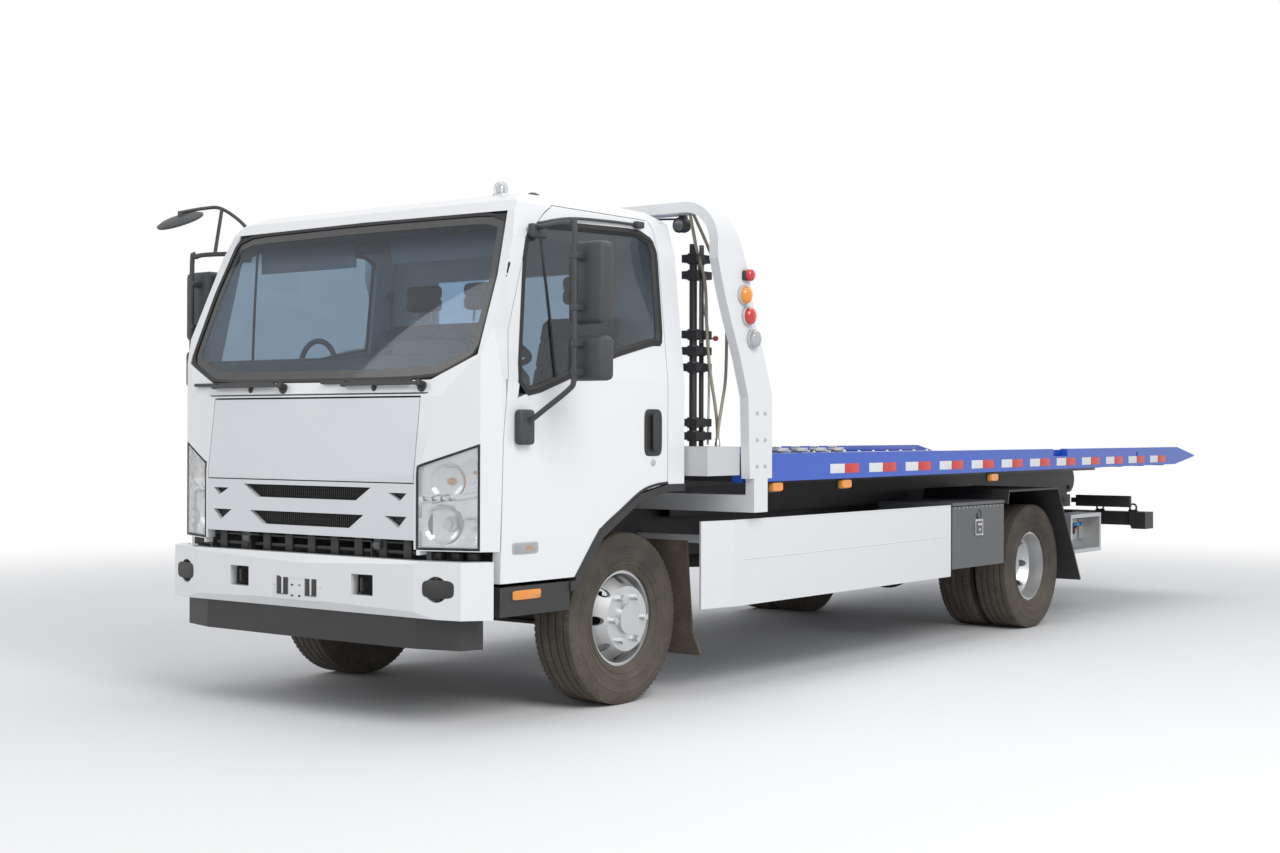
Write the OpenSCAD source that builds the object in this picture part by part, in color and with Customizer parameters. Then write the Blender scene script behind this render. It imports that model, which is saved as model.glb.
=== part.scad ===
// Flatbed recovery truck: cab-over chassis, sliding and tilting deck, wheel-lift crossbar.
// Heights are from the ground. Lengths along Y are from the front axle and grow rearwards;
// from_axle() moves each piece so that the origin is under the middle of the whole truck.
// +X is the truck's left side.

/* [Chassis] */
// Front axle to rear axle
wheelbase = 4175; // [4000:25:4400]
// Front axle to the bumper's front
front_overhang = 1150; // [1130:10:1200]
// Width over the chassis rails
rail_span = 800; // [760:10:820]
// Height of a chassis rail
rail_height = 190; // [170:5:200]
// Underside of the chassis rails
rail_bottom = 600; // [590:5:610]
// Width of a chassis rail's flanges
rail_flange = 65; // [55:5:80]
// Plate thickness of the chassis rails
rail_plate = 6; // [5:1:10]
// Height of the fixed subframe on the rails
subframe_height = 80; // [60:5:84]

/* [Wheels] */
// Tyre diameter
tyre_dia = 797; // [780:1:810]
// Tyre section width
tyre_width = 235; // [215:5:245]
// Rim seat diameter, where the tyre's bead sits
rim_dia = 444; // [440:1:450]
// Distance between the centres of the front tyres
front_track = 1680; // [1660:10:1700]
// Distance between the centres of a twin pair
twin_spacing = 265; // [260:5:275]
// Distance between the mid planes of the rear twin pairs
rear_track = 1649; // [1640:1:1680]
// Distance between the two kingpins
kingpin_span = 1580; // [1560:5:1590]
// Pitch circle of the wheel nuts
nut_circle = 222; // [200:1:225]

/* [Cab] */
// Cab width at the door panels
cab_width = 2020; // [1980:10:2040]
// Cab wall and door thickness
cab_wall = 45; // [35:1:55]
// Gap around each door
door_gap = 5; // [3:1:8]
// Cab roof height
roof_top = 2330; // [2310:5:2350]
// Rear face of the cab
cab_rear = 385; // [370:5:390]
// Footwell floor thickness
floor_plate = 20; // [10:1:25]
// Steering wheel diameter
steering_wheel_dia = 440; // [420:10:460]

/* [Deck] */
// Deck width over its side rails
deck_width = 2250; // [2200:10:2256]
// Front axle to the tail's tip
tail_reach = 6960; // [6800:20:7100]
// Front end of the deck
deck_front = 700; // [695:5:760]
// Height of the deck's side rails
side_rail_height = 141; // [120:1:160]
// Thickness of the deck's side rails
side_rail_width = 50; // [40:1:60]
// Underside of the deck's side rails
deck_bottom = 1015; // [1012:1:1030]
// Thickness of the deck floor
floor_thickness = 8; // [6:1:12]
// Number of floor cross members
cross_member_count = 15; // [11:1:17]

/* [Tilt and slide] */
// Front axle to the tilt pivot
pivot_y = 6100; // [6050:10:6150]
// Height of the tilt pivot
pivot_z = 850; // [840:5:852]
// Radius of the tilt pivot pins
pivot_pin_r = 15; // [12:1:18]
// Width of one tilt frame rail
tilt_rail_width = 70; // [60:5:80]
// Front end of the tilt frame
tilt_front = 1000; // [950:10:1100]
// Outer radius of the slide cylinder's barrel
slide_barrel_r = 50; // [44:1:52]
// Outer radius of the slide cylinder's rod
slide_rod_r = 28; // [22:1:32]

/* [Gantry] */
// Width over the gantry's posts
gantry_width = 2380; // [2370:5:2420]
// Thickness of the gantry's plates
gantry_plate = 50; // [40:1:52]
// Top of the gantry
gantry_top = 2370; // [2350:5:2400]

/* [Wheel lift] */
// Length of the crossbar across the truck
crossbar_length = 2010; // [1900:10:2100]
// Height of the crossbar's section
crossbar_height = 100; // [80:5:105]
// Side of the square boom
boom_side = 110; // [100:2:116]
// Wall of the square boom
boom_wall = 10; // [6:1:12]

/* [Side equipment] */
// Width over the skirts and toolboxes
body_width = 2260; // [2200:10:2280]
// Thickness of a skirt
skirt_plate = 12; // [8:1:20]
// Length of a toolbox
toolbox_length = 700; // [600:10:700]
// Wall of a toolbox
toolbox_wall = 20; // [10:1:25]
// Thickness of a mudguard
mudguard_plate = 12; // [8:1:14]

/* [Hidden] */
$fn = 96;
// Running clearance of a pin in its bore, and the seat gap between still neighbours
pin_gap = 0.05;
seat_gap = 0.3;
// Clearance of sliding frames and of free-running sides
slide_gap = 5;

mid_y = (tail_reach - front_overhang) / 2;
rail_out = rail_span / 2;
rail_in = rail_out - rail_flange;
rail_top = rail_bottom + rail_height;
rail_front = -1085;
rail_rear = 6300;
subframe_top = rail_top + subframe_height;
axle_z = tyre_dia / 2;
wheel_x = front_track / 2;
kingpin_x = kingpin_span / 2;
twin_x = rear_track / 2;
rim_r = rim_dia / 2;

beam_z = [340, 430];
kingpin_r = 20;
spindle_r = 35;
axle_stub_r = 40;
diff_r = 200;
pinion_z = axle_z + 26;
boom_pin_r = 20;
crossbar_pin_r = 20;
socket_r = 22;
tow_eye = [-1116, 601];
tow_eye_r = 15;
bumper_z = [475, 718];
fog_at = [812, 601];
fog_r = 55;
tray_x = 1132;
tray_y = [405, 680];
tray_z = [1053, 1193];

cab_x = cab_width / 2;
belt_x = cab_x - 60;
eave_x = cab_x - 105;
crown_x = cab_x - 210;
cab_front = -1110;
cab_pivot = [-1060, 770];
cab_pin_r = 14;
cowl_z = 1484;
header_z = 2222;
floor_top = 840;
seat_floor_top = 1060;
cab_bottom = 1016;
back_wall_y = cab_rear - 55;
door_front = -936;
door_rear = 254;
door_bottom = 617;
door_top = roof_top - 58;
grille_x = 672;
lid_z = [1045, 1408];
lid_hinge = [-1060, lid_z[1] - 5];
lid_pin_r = 3;
lamp_z = 763;
wiper_pivot = [-1051.2, 1460.6];

deck_x = deck_width / 2;
deck_top = deck_bottom + side_rail_height;
floor_z = deck_top - 48;
member_bottom = deck_bottom + 5;
tail_break = tail_reach - 360;
tilt_in = rail_out + slide_gap;
tilt_out = tilt_in + tilt_rail_width;
tilt_top = deck_bottom - 10;
tilt_bottom = 815;
tilt_rear = pivot_y + 100;
runner_front = deck_front + 60;
slide_z = tilt_top - slide_barrel_r - 15;
slide_barrel = [1500, 5000];
slide_rod_end = slide_barrel[1] + 120;

gantry_x = gantry_width / 2;
gantry_foot = 1036;
crossbar_y = 6350;
crossbar_top = 670;
boom_z = crossbar_top - crossbar_height / 2;
boom_pivot_y = 5000;
side_x = body_width / 2;
toolbox_front = 2920;
toolbox_rear = toolbox_front + toolbox_length;
toolbox_z = [450, 845];
hinge_drop = 5;

// ---- Shared construction ----

// A stretch of the given half length on both sides of a centre
function about(centre, half) = [centre - half, centre + half];

// A whole outline from its half with x at or above 0, which starts and ends at x = 0
function whole(half) = concat(half, [
    for (i = [len(half) - 1:-1:0]) if (half[i][0] > 0) [-half[i][0], half[i][1]]
]);

module from_axle() {
    translate([0, -mid_y, 0]) children();
}

// A block between two values on each axis
module block(x, y, z) {
    translate([x[0], y[0], z[0]]) cube([x[1] - x[0], y[1] - y[0], z[1] - z[0]]);
}

// A flat outline in Y and Z, drawn out across the truck
module across(x) {
    translate([x[0], 0, 0]) rotate([90, 0, 90]) linear_extrude(x[1] - x[0]) children();
}

// A flat outline in X and Z, drawn out along the truck
module along(y) {
    translate([0, y[1], 0]) rotate([90, 0, 0]) linear_extrude(y[1] - y[0]) children();
}

// A round bar across the truck, centred at [y, z]
module bar_across(x, at, r) {
    translate([x[0], at[0], at[1]]) rotate([0, 90, 0]) cylinder(r = r, h = x[1] - x[0]);
}

// A round bar along the truck, centred at [x, z]
module bar_along(y, at, r) {
    translate([at[0], y[0], at[1]]) rotate([-90, 0, 0]) cylinder(r = r, h = y[1] - y[0]);
}

module both_sides() {
    children();
    mirror([1, 0, 0]) children();
}

// ---- Chassis ----

rail_side = [
    [rail_front, rail_bottom], [5700, rail_bottom], [6000, rail_bottom + 100],
    [rail_rear, rail_bottom + 100], [rail_rear, rail_top], [rail_front, rail_top]
];
rail_hollow = [
    [rail_front - 1, rail_bottom + rail_plate], [5700, rail_bottom + rail_plate],
    [6000, rail_bottom + 100 + rail_plate], [rail_rear + 1, rail_bottom + 100 + rail_plate],
    [rail_rear + 1, rail_top - rail_plate], [rail_front - 1, rail_top - rail_plate]
];
// Cross members: [y, bottom, top]
cross_members = [
    [-960, 640, 740], [1250, 640, 740], [2100, 640, 740], [2900, 640, 740],
    [4600, 690, 784], [5560, 720, 784], [6150, 720, 784]
];

module chassis_frame() {
    color("dimgray") from_axle() difference() {
        union() {
            both_sides() {
                difference() {
                    across([rail_in, rail_out]) polygon(rail_side);
                    across([rail_in - 1, rail_out - rail_plate]) polygon(rail_hollow);
                }
                block([rail_in, rail_out], [480, rail_rear - 60], [rail_top - 1, subframe_top]);
                // Posts under the equipment tray
                block([rail_in, rail_out], [500, 600], [subframe_top - 1, tray_z[0]]);
                // Stub pins of the cab hinge and of the deck's tilt pivot
                bar_across([rail_out - 2, rail_out + 52], cab_pivot, cab_pin_r);
                bar_across([rail_out - 2, tilt_out + 10], [pivot_y, pivot_z], pivot_pin_r);
                // Towing eye in front of the rail
                block([rail_out - rail_plate - 4, rail_out], [tow_eye[0] - 26, rail_front + 20],
                      about(tow_eye[1], 28));
                // Ears and pin of the lift cylinder's lower end
                for (x = [lift_x - 35, lift_x + 25])
                    block([x, x + 10], [lift_base[0] - 100, lift_base[0] + 30],
                          [lift_base[1] - 40, 784]);
                bar_across([lift_x - 30, lift_x + 30], lift_base, lift_pin_r);
                // Hanger of the wheel lift's boom
                block([boom_side / 2 + slide_gap, boom_side / 2 + 35], about(boom_pivot_y, 60),
                      [boom_z - 60, 784]);
            }
            for (m = cross_members)
                block(about(0, rail_out - 2), about(m[0], 40), [m[1], m[2]]);
            block(about(0, rail_out - 2), [lift_base[0] - 100, lift_base[0] - 60], [700, 784]);
            block(about(0, rail_out - 2), about(boom_pivot_y, 60), [720, 784]);
            bar_across(about(0, boom_side / 2 + slide_gap + 2), [boom_pivot_y, boom_z], boom_pin_r);
        }
        bar_across(about(0, rail_out + 1), tow_eye, tow_eye_r);
    }
}

// Front beam between the kingpins, and the rear housing with its differential
module axles() {
    color("dimgray") from_axle() {
        difference() {
            union() {
                block(about(0, kingpin_x), about(0, 40), beam_z);
                both_sides() {
                    translate([kingpin_x, 0, beam_z[0] - 8]) cylinder(r = 35, h = 126);
                    translate([kingpin_x, 0, 284]) cylinder(r = kingpin_r, h = 230);
                }
            }
            block(about(0, kingpin_x - 80), [-41, -12], about(385, 30));
            block(about(0, kingpin_x - 80), [12, 41], about(385, 30));
        }
        bar_across(about(0, twin_x - 200), [wheelbase, axle_z], 60);
        difference() {
            union() {
                translate([0, wheelbase, axle_z]) sphere(r = diff_r);
                bar_along([wheelbase - diff_r - 40, wheelbase - diff_r + 60], [0, pinion_z], 60);
                both_sides() bar_across([0, twin_x + 60], [wheelbase, axle_z], axle_stub_r);
            }
            bar_across(about(0, twin_x - 200), [wheelbase, axle_z], 59);
        }
    }
}

// One leaf pack: its centre along the truck, its mid line, half length, rise and thickness
module leaf_pack(x, y, low, half, rise, thick) {
    bend = (half * half + rise * rise) / (2 * rise);
    across(about(x, 35)) intersection() {
        difference() {
            translate([y, low + bend]) circle(r = bend + thick / 2, $fn = 360);
            translate([y, low + bend]) circle(r = bend - thick / 2, $fn = 360);
        }
        translate([y - half, low - thick]) square([2 * half, rise + 2 * thick]);
    }
    for (s = [-1, 1]) bar_across(about(x, 35), [y + s * half, low + rise], 28);
}

module leaf_springs() {
    color("dimgray") from_axle() both_sides() {
        leaf_pack(rail_in + 33, 0, beam_z[1] + 25 + seat_gap, 560, 100, 50);
        for (y = [-560, 560])
            block(about(rail_in + 33, 30), about(y, 24), [beam_z[1] + 125, rail_bottom - seat_gap]);
        leaf_pack(rail_out + 45, wheelbase, axle_z + 90, 640, 90, 60);
        for (y = [-640, 640])
            block(about(rail_out + 45, 44.7), about(wheelbase + y, 24), [axle_z + 180, 680]);
    }
}

module powertrain() {
    color("darkslategray") from_axle() {
        block(about(0, 290), [-350, 450], [450, 1000]);
        block(about(0, 170), [450, 1080], [480, 760]);
        both_sides() block([289, rail_out - rail_plate - seat_gap], about(120, 50), [640, 700]);
        rod([0, 1079, 560], [0, wheelbase - diff_r - 42, pinion_z], 45);
    }
}

// A round rod between two points
module rod(a, b, r) {
    run = b - a;
    translate(a) rotate([0, acos(run[2] / norm(run)), atan2(run[1], run[0])])
        cylinder(r = r, h = norm(run));
}

module fuel_tank() {
    color("gray") from_axle() {
        block([-960, rail_out * -1 - 20], [1500, 2300], [420, 780]);
        for (y = [1600, 2160])
            block([-rail_out - 21, -rail_out - seat_gap], [y, y + 50], [630, 760]);
    }
}

bumper_plan = [
    [0, -front_overhang], [700, -front_overhang + 12], [930, -1090], [cab_x + 7, -983],
    [cab_x - 40, -965], [900, -1035], [680, rail_front - seat_gap], [0, rail_front - seat_gap]
];

module front_bumper() {
    color("white") from_axle() difference() {
        intersection() {
            translate([0, 0, bumper_z[0]]) linear_extrude(bumper_z[1] - bumper_z[0])
                polygon(whole(bumper_plan));
            across(about(0, cab_x + 20)) polygon([
                [-960, bumper_z[0]], [-front_overhang + 35, bumper_z[0]],
                [-front_overhang, bumper_z[0] + 45], [-front_overhang, bumper_z[1] - 40],
                [-front_overhang + 18, bumper_z[1]], [-960, bumper_z[1]]
            ]);
        }
        both_sides() {
            // Openings for the towing eyes and seats of the fog lamps
            block(about(rail_out, 65), [-1200, -1000], about(tow_eye[1], 45));
            bar_along([-1200, -1000], fog_at, fog_r);
        }
        // Plate recess
        block(about(-40, 180), [-front_overhang - 1, -front_overhang + 4], [500, 610]);
    }
}

module air_dam() {
    color("dimgray") from_axle() translate([0, 0, 342]) linear_extrude(bumper_z[0] - 342 - seat_gap)
        polygon(whole([
            [0, -1110], [680, -1098], [885, -1040], [920, -940],
            [895, -940], [860, -1022], [670, -1075], [0, -1086]
        ]));
}

module front_mudguards() {
    color("dimgray") from_axle() both_sides() {
        across([740, 990]) polygon([
            [435, 740], [447, 740], [462, 560], [492, 300], [566, 180],
            [554, 174], [480, 296], [450, 556]
        ]);
        block([rail_out + seat_gap, 750], [440, 470], [690, 730]);
    }
}

module side_skirts() {
    color("whitesmoke") from_axle() both_sides() {
        translate([0, 0, 415]) linear_extrude(420) polygon([
            [side_x - 45, 421], [side_x, 638], [side_x, toolbox_front - 13],
            [side_x - skirt_plate, toolbox_front - 13], [side_x - skirt_plate, 640], [side_x - 57, 424]
        ]);
        for (y = [820, 1400, 2640])
            block([rail_out + seat_gap, side_x - skirt_plate + 1], [y, y + 40], [700, 740]);
    }
}

module toolboxes() {
    color("dimgray") from_axle() both_sides() {
        difference() {
            block([640, side_x - 22], [toolbox_front, toolbox_rear], toolbox_z);
            block([640 + toolbox_wall, side_x], [toolbox_front + toolbox_wall, toolbox_rear - toolbox_wall],
                  [toolbox_z[0] + toolbox_wall, toolbox_z[1] - toolbox_wall]);
        }
        block([side_x - 23, side_x + 5], [toolbox_front, toolbox_rear], [toolbox_z[1] - 18, toolbox_z[1]]);
        for (y = [toolbox_front + 80, toolbox_rear - 120])
            block([rail_out + seat_gap, 641], [y, y + 40], [700, 740]);
    }
}

module toolbox_door() {
    difference() {
        block([side_x - 22 + seat_gap, side_x], [toolbox_front + 5, toolbox_rear - 5],
              [toolbox_z[0] + hinge_drop, toolbox_z[1] - 23]);
        // Recess of the latch
        translate([side_x - 6, (toolbox_front + toolbox_rear) / 2, 760]) rotate([0, 90, 0])
            cylinder(r = 38, h = 10);
    }
    // Latch handle
    translate([side_x - 6, (toolbox_front + toolbox_rear) / 2, 760]) rotate([0, 90, 0])
        cylinder(r = 16, h = 10);
}

module left_toolbox_door() { color("dimgray") from_axle() toolbox_door(); }
module right_toolbox_door() { color("dimgray") from_axle() mirror([1, 0, 0]) toolbox_door(); }

module rear_mudguards() {
    color("dimgray") from_axle() both_sides() {
        across([560, side_x + 20]) polygon([
            [toolbox_rear + 18, 820], [toolbox_rear + 6, 822], [3650, 905], [4386, 905], [4752, 282],
            [4740, 276], [4379, 905 - mudguard_plate], [3658, 905 - mudguard_plate]
        ]);
        for (y = [3900, 4400]) {
            block([rail_out + seat_gap, 600], [y, y + 40], [750, 790]);
            block([561, 600], [y, y + 40], [789, 880]);
        }
        block([561, 600], [3900, 3940], [879, 905 - mudguard_plate + 1]);
    }
}

module control_boxes() {
    color("lightgray") from_axle() both_sides() {
        difference() {
            block([870, 1050], [4817, 5330], [440, 705]);
            block([900, 1051], [4817 + 25, 5330 - 25], [440 + 25, 705 - 25]);
        }
        // Lever panel
        difference() {
            block([899, 930], [4842 - 1, 5306], [520, 660]);
            block([898, 931], [5200, 5230], [519, 661]);
        }
        block([rail_out + seat_gap, 871], about(5074, 30), [620, 680]);
    }
}

// A portal: the arch seen from behind, cut to the posts' forward-leaning side outline
module gantry() {
    color("white") from_axle() {
        intersection() {
            along([300, 900]) difference() {
                portal(gantry_x, gantry_top, 200);
                portal(gantry_x - gantry_plate, gantry_top - gantry_plate, 150);
            }
            across(about(0, gantry_x + 1)) polygon([
                [682, gantry_foot], [879, gantry_foot], [879, 1440], [815, 1618], [735, 1780],
                [696, 1922], [673, 2022], [573, 2227], [540, 2310], [500, gantry_top + 1],
                [405, gantry_top + 1], [405, 2090], [462, 1927], [512, 1807], [598, 1621], [667, 1431]
            ]);
        }
        block(about(0, gantry_x), [720, 840], [subframe_top, subframe_top + 85]);
        both_sides() block([gantry_x - gantry_plate, gantry_x], [720, 840],
                           [subframe_top + 84, gantry_foot + 1]);
    }
}

// Outline of a portal with round upper corners
module portal(half, top, corner) {
    translate([-half, gantry_foot - 1]) square([2 * half, top - corner - gantry_foot + 1]);
    translate([-half + corner, gantry_foot]) square([2 * (half - corner), top - gantry_foot]);
    for (s = [-1, 1]) translate([s * (half - corner), top - corner]) circle(r = corner);
}

module equipment_tray() {
    color("whitesmoke") from_axle() difference() {
        block(about(0, tray_x), tray_y, tray_z);
        block(about(0, tray_x - 25), [tray_y[0] + 25, tray_y[1] - 25], [tray_z[0] + 25, tray_z[1] - 25]);
        block([-520, 520], [tray_y[0] + 25, tray_y[1] - 25], [tray_z[0] + 25, tray_z[1] + 1]);
    }
}

// Wheel-lift forks in store: [x, y, radius] of the upright tubes, heights of the collars
module fork_rack() {
    color("dimgray") from_axle() {
        for (t = [[950, 540, 19], [950, 610, 12]])
            translate([t[0], t[1], tray_z[1]]) cylinder(r = t[2], h = 2180 - tray_z[1]);
        for (z = [1225, 1290, 1560, 1640, 1720, 2010, 2090])
            block(about(950, 45), [505, 635], [z, z + 38]);
    }
}

// Lamps on the posts: [y, z, radius]; work lamp under the gantry; fog lamps; tail lamps
module chassis_lamps() {
    color("orange") from_axle() both_sides() {
        for (l = [[640, 2022, 36], [617, 1926, 44], [652, 1826, 44], [697, 1717, 44]])
            translate([gantry_x + seat_gap, l[0], l[1]]) rotate([0, 90, 0])
                cylinder(r1 = l[2], r2 = l[2] * 0.7, h = 45);
        bar_along([-1128, -1075], fog_at, fog_r - seat_gap);
        block([rail_out + 60, 900], [6235, 6290], [705, 790]);
        block([rail_out + seat_gap, rail_out + 61], [6240, 6280], [730, 770]);
    }
    color("dimgray") from_axle() {
        bar_along([480, 560], [903, 2272], 37);
        translate([903, 520, 2290]) cylinder(r = 12, h = gantry_top - gantry_plate - 2290 - seat_gap);
    }
}

// ---- Cab ----

// The cab's whole outline, drawn in by an inset on every wall; the bottom stays open
module cab_body(inset) {
    i = inset;
    base = inset > 0 ? 580 : 600;
    intersection() {
        across(about(0, cab_x - i)) polygon([
            [cab_front + i, base], [cab_front + i, 1040], [cab_front + 45 + i, 1412],
            [cab_front + 68 + i, cowl_z], [-744 + i, header_z], [-700 + i, 2275 - i],
            [-600 + i, roof_top - 14 - i], [-200, roof_top - i], [cab_rear - 60, roof_top - 6 - i],
            [cab_rear - i, roof_top - 50 - i], [cab_rear - i, base]
        ]);
        along([cab_front - 1, cab_rear + 1]) polygon([
            [i - cab_x, base], [cab_x - i, base], [cab_x - i, 1500], [belt_x - i, 2110],
            [eave_x - i, 2262 - i / 2], [crown_x - i, roof_top - i], [0, roof_top + 1],
            [i - crown_x, roof_top - i], [i - eave_x, 2262 - i / 2], [i - belt_x, 2110],
            [i - cab_x, 1500]
        ]);
        translate([0, 0, base - 1]) linear_extrude(roof_top) polygon(whole([
            [0, cab_front + i], [690, cab_front + 5 + i], [cab_x - 55 - i, -1000 + 0.6 * i],
            [cab_x - i, -925], [cab_x - i, cab_rear - i], [0, cab_rear - i]
        ]));
    }
}

module cab_shell(outer, inner) {
    difference() {
        cab_body(outer);
        cab_body(inner);
    }
}

// Door outline, drawn in by a gap
function door_outline(g) = [
    [door_front + g, door_bottom + g], [-919 + g, 1228], [-891 + g, 1481], [-871 + g, 1693],
    [-700 + g, 2109], [-545 + g, 2231 - g], [-470, door_top - g], [226 - g, door_top - g],
    [door_rear - g, door_top - 42], [door_rear - g, cab_bottom + g], [35, 980 + g],
    [-263 - g, 821 + g], [-439 - g, door_bottom + g]
];
door_window = [
    [-825, 1406], [-703, 2098], [-577, 2172], [128, 2198], [223, 2159],
    [215, 1688], [143, 1686], [-155, 1619]
];
windscreen = [
    [0, cowl_z - 4], [709, cowl_z], [939, 1588], [925, 1934], [878, header_z], [0, header_z + 8]
];

module windscreen_cut() {
    along([-1200, -560]) polygon(whole(windscreen));
}

module door_cut() {
    across(about(0, cab_x + 1)) polygon(door_outline(0));
}

// Everything ahead of the doors' front edge
module ahead_of_doors() {
    across(about(0, cab_x + 2)) polygon([
        [-1200, 590], [door_front, 590], [door_front, door_bottom], [-919, 1228], [-891, 1481],
        [-871, 1693], [-700, 2109], [-545, 2231], [-545, 2400], [-1200, 2400]
    ]);
}

module cab_floor() {
    color("dimgray") from_axle() {
        intersection() {
            union() {
                block(about(0, 720), [-1070, -480], [floor_top - floor_plate, floor_top]);
                block(about(0, cab_x), [-500, -480 + floor_plate], [floor_top - floor_plate, seat_floor_top]);
                block(about(0, cab_x), [-481, cab_rear], [seat_floor_top - floor_plate, seat_floor_top]);
                block(about(0, cab_x), [-1070, -1045], [floor_top - floor_plate, cowl_z - 60]);
                both_sides() block([700, 720], [-1070, -480], [600, floor_top]);
            }
            cab_body(cab_wall + seat_gap);
        }
        // Lugs of the cab hinge
        both_sides() difference() {
            union() {
                bar_across([rail_out + slide_gap, rail_out + 45], cab_pivot, 25);
                block([rail_out + slide_gap, rail_out + 45], about(cab_pivot[0] + 5, 20),
                      [cab_pivot[1], floor_top - floor_plate + 1]);
            }
            bar_across([rail_out, rail_out + 60], cab_pivot, cab_pin_r + pin_gap);
        }
    }
}

// Entry steps with the black trims that follow the doors' lower edges over the wheels
module step_panels() {
    color("dimgray") from_axle() both_sides() {
        difference() {
            block([720 + seat_gap, cab_x - 5], [-930, -470], [480, 605]);
            block([750, 970], [-900, -500], [500, 606]);
        }
        across([945, cab_x + 4]) polygon([
            [-470, 560], [-425, 575], [-240, 786], [45, 944], [262, 981], [cab_rear, 981],
            [cab_rear, cab_bottom - seat_gap], [254, cab_bottom - seat_gap], [37, 976], [-268, 815],
            [-443, 605], [-471, 605]
        ]);
    }
}

module cab_back_wall() {
    color("white") from_axle() difference() {
        intersection() {
            cab_shell(0, cab_wall);
            block(about(0, cab_x + 1), [back_wall_y, cab_rear + 1], [cab_bottom, header_z]);
        }
        block(about(0, 600), [200, 400], [1500, 2050]);
    }
}

module cab_roof() {
    color("white") from_axle() difference() {
        intersection() {
            cab_shell(0, cab_wall);
            block(about(0, cab_x + 1), [-1000, cab_rear + 1], [header_z, roof_top + 1]);
        }
        door_cut();
        windscreen_cut();
        // The front pillars reach up to the corner of the doors
        both_sides() intersection() {
            ahead_of_doors();
            block([860, cab_x + 1], [-1200, -545], [2200, 2400]);
        }
    }
}

module cab_pillars() {
    color("white") from_axle() difference() {
        intersection() {
            cab_shell(0, cab_wall);
            union() {
                both_sides() block([640, cab_x + 1], [-1200, -300], [cowl_z, header_z]);
                both_sides() block([860, cab_x + 1], [-1200, -545], [header_z - 1, 2400]);
                both_sides() block([860, cab_x + 1], [-300, back_wall_y], [cab_bottom, header_z]);
            }
        }
        door_cut();
        windscreen_cut();
    }
}

module front_panels() {
    color("white") from_axle() difference() {
        intersection() {
            cab_shell(0, cab_wall);
            ahead_of_doors();
            block(about(0, cab_x + 1), [-1200, -900], [740, cowl_z]);
        }
        windscreen_cut();
        block(about(0, grille_x + seat_gap), [-1200, -1000], [700, lid_z[1] + 8]);
        both_sides() bar_across([grille_x - 1, grille_x + 12], lid_hinge, lid_pin_r + pin_gap);
        block(about(0, 688), [-1200, -1000], [700, lamp_z]);
        both_sides() lamp_region(seat_gap);
        block([700, 2 * cab_x], [-1200, -900], [600, 758]);
        block([-2 * cab_x, -700], [-1200, -900], [600, 758]);
    }
}

module lamp_region(g) {
    along([-1200, -900]) polygon([
        [684 - g, lamp_z - g - 1], [955 + g, lamp_z - g - 1], [955 + g, 1212 + g], [684 - g, 1118 + g]
    ]);
}

module grille() {
    color("white") from_axle() difference() {
        intersection() {
            cab_shell(0, 24);
            block(about(0, grille_x), [-1200, -1000], [801, lid_z[0] - slide_gap]);
        }
        along([-1200, -1000]) polygon([[-415, 1020], [415, 1020], [323, 962], [-323, 962]]);
        along([-1200, -1000]) polygon([[-371, 900], [371, 900], [281, 840], [-281, 840]]);
        along([-1200, -1000]) both_sides() {
            polygon([[520, 1000], [630, 1000], [590, 965]]);
            polygon([[500, 900], [630, 900], [580, 850]]);
        }
    }
}

module service_lid() {
    color("whitesmoke") from_axle() {
        intersection() {
            cab_shell(0, 20);
            block(about(0, grille_x - slide_gap), [-1200, -1000], lid_z);
        }
        // Hinge pins in the panels' edges
        both_sides() bar_across([grille_x - 20, grille_x + 9], lid_hinge, lid_pin_r);
    }
}

module cab_lamps() {
    color("gainsboro") from_axle() {
        both_sides() intersection() {
            cab_shell(0, cab_wall);
            lamp_region(0);
        }
        // Bullet lamp and the dome behind it on the roof
        translate([621, -500, roof_top - 9.3]) cylinder(r = 32, h = 75);
        translate([683, -350, roof_top - 4]) cylinder(r = 38, h = 36);
    }
}

module cab_glass() {
    color("lightblue", 0.4) from_axle() {
        intersection() {
            cab_shell(12, 20);
            windscreen_cut();
        }
        block(about(0, 600), [355, 362], [1500, 2050]);
    }
}

module dashboard() {
    color("dimgray") from_axle() {
        intersection() {
            across(about(0, cab_x)) polygon([
                [-1044, 1110], [-1044, 1540], [-960, 1580], [-860, 1600], [-760, 1560], [-700, 1500],
                [-690, 1400], [-780, 1150], [-860, 1110]
            ]);
            cab_body(cab_wall + 1);
        }
        // Instrument cowl
        block([330, 640], [-880, -745], [1570, 1660]);
        // Column from the footwell up to the steering wheel
        difference() {
            rod(wheel_at + column_run * -900, wheel_at + column_run * (-45 - seat_gap), 38);
            block([300, 700], [-1000, -500], [600, floor_top + seat_gap]);
        }
        // Passenger's grab rail
        translate([-425, -640, 1575]) rotate([90, 0, 0]) rotate_extrude(angle = 180)
            translate([120, 0]) circle(r = 13);
        for (x = [-545, -305]) rod([x, -640, 1576], [x, -760, 1540], 13);
    }
}

module seat(x, width, rests) {
    block(about(x, width / 2 - 60), [-380, 60], [seat_floor_top, 1185]);
    block(about(x, width / 2), [-430, 90], [1184, 1320]);
    across(about(x, width / 2)) polygon([
        [70, 1290], [200, 1290], [325, 1850], [225, 1850]
    ]);
    for (c = rests) {
        block(about(c, 125), [225, 315], [1880, 2040]);
        for (s = [-50, 50]) rod([c + s, 262, 1840], [c + s, 270, 1890], 8);
    }
}

module seats() {
    color("slategray") from_axle() {
        seat(470, 500, [470]);
        seat(-400, 920, [-600, -190]);
    }
}

wheel_at = [480, -450, 1650];
column_lean = 20;
column_run = [0, sin(column_lean), cos(column_lean)];

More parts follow.
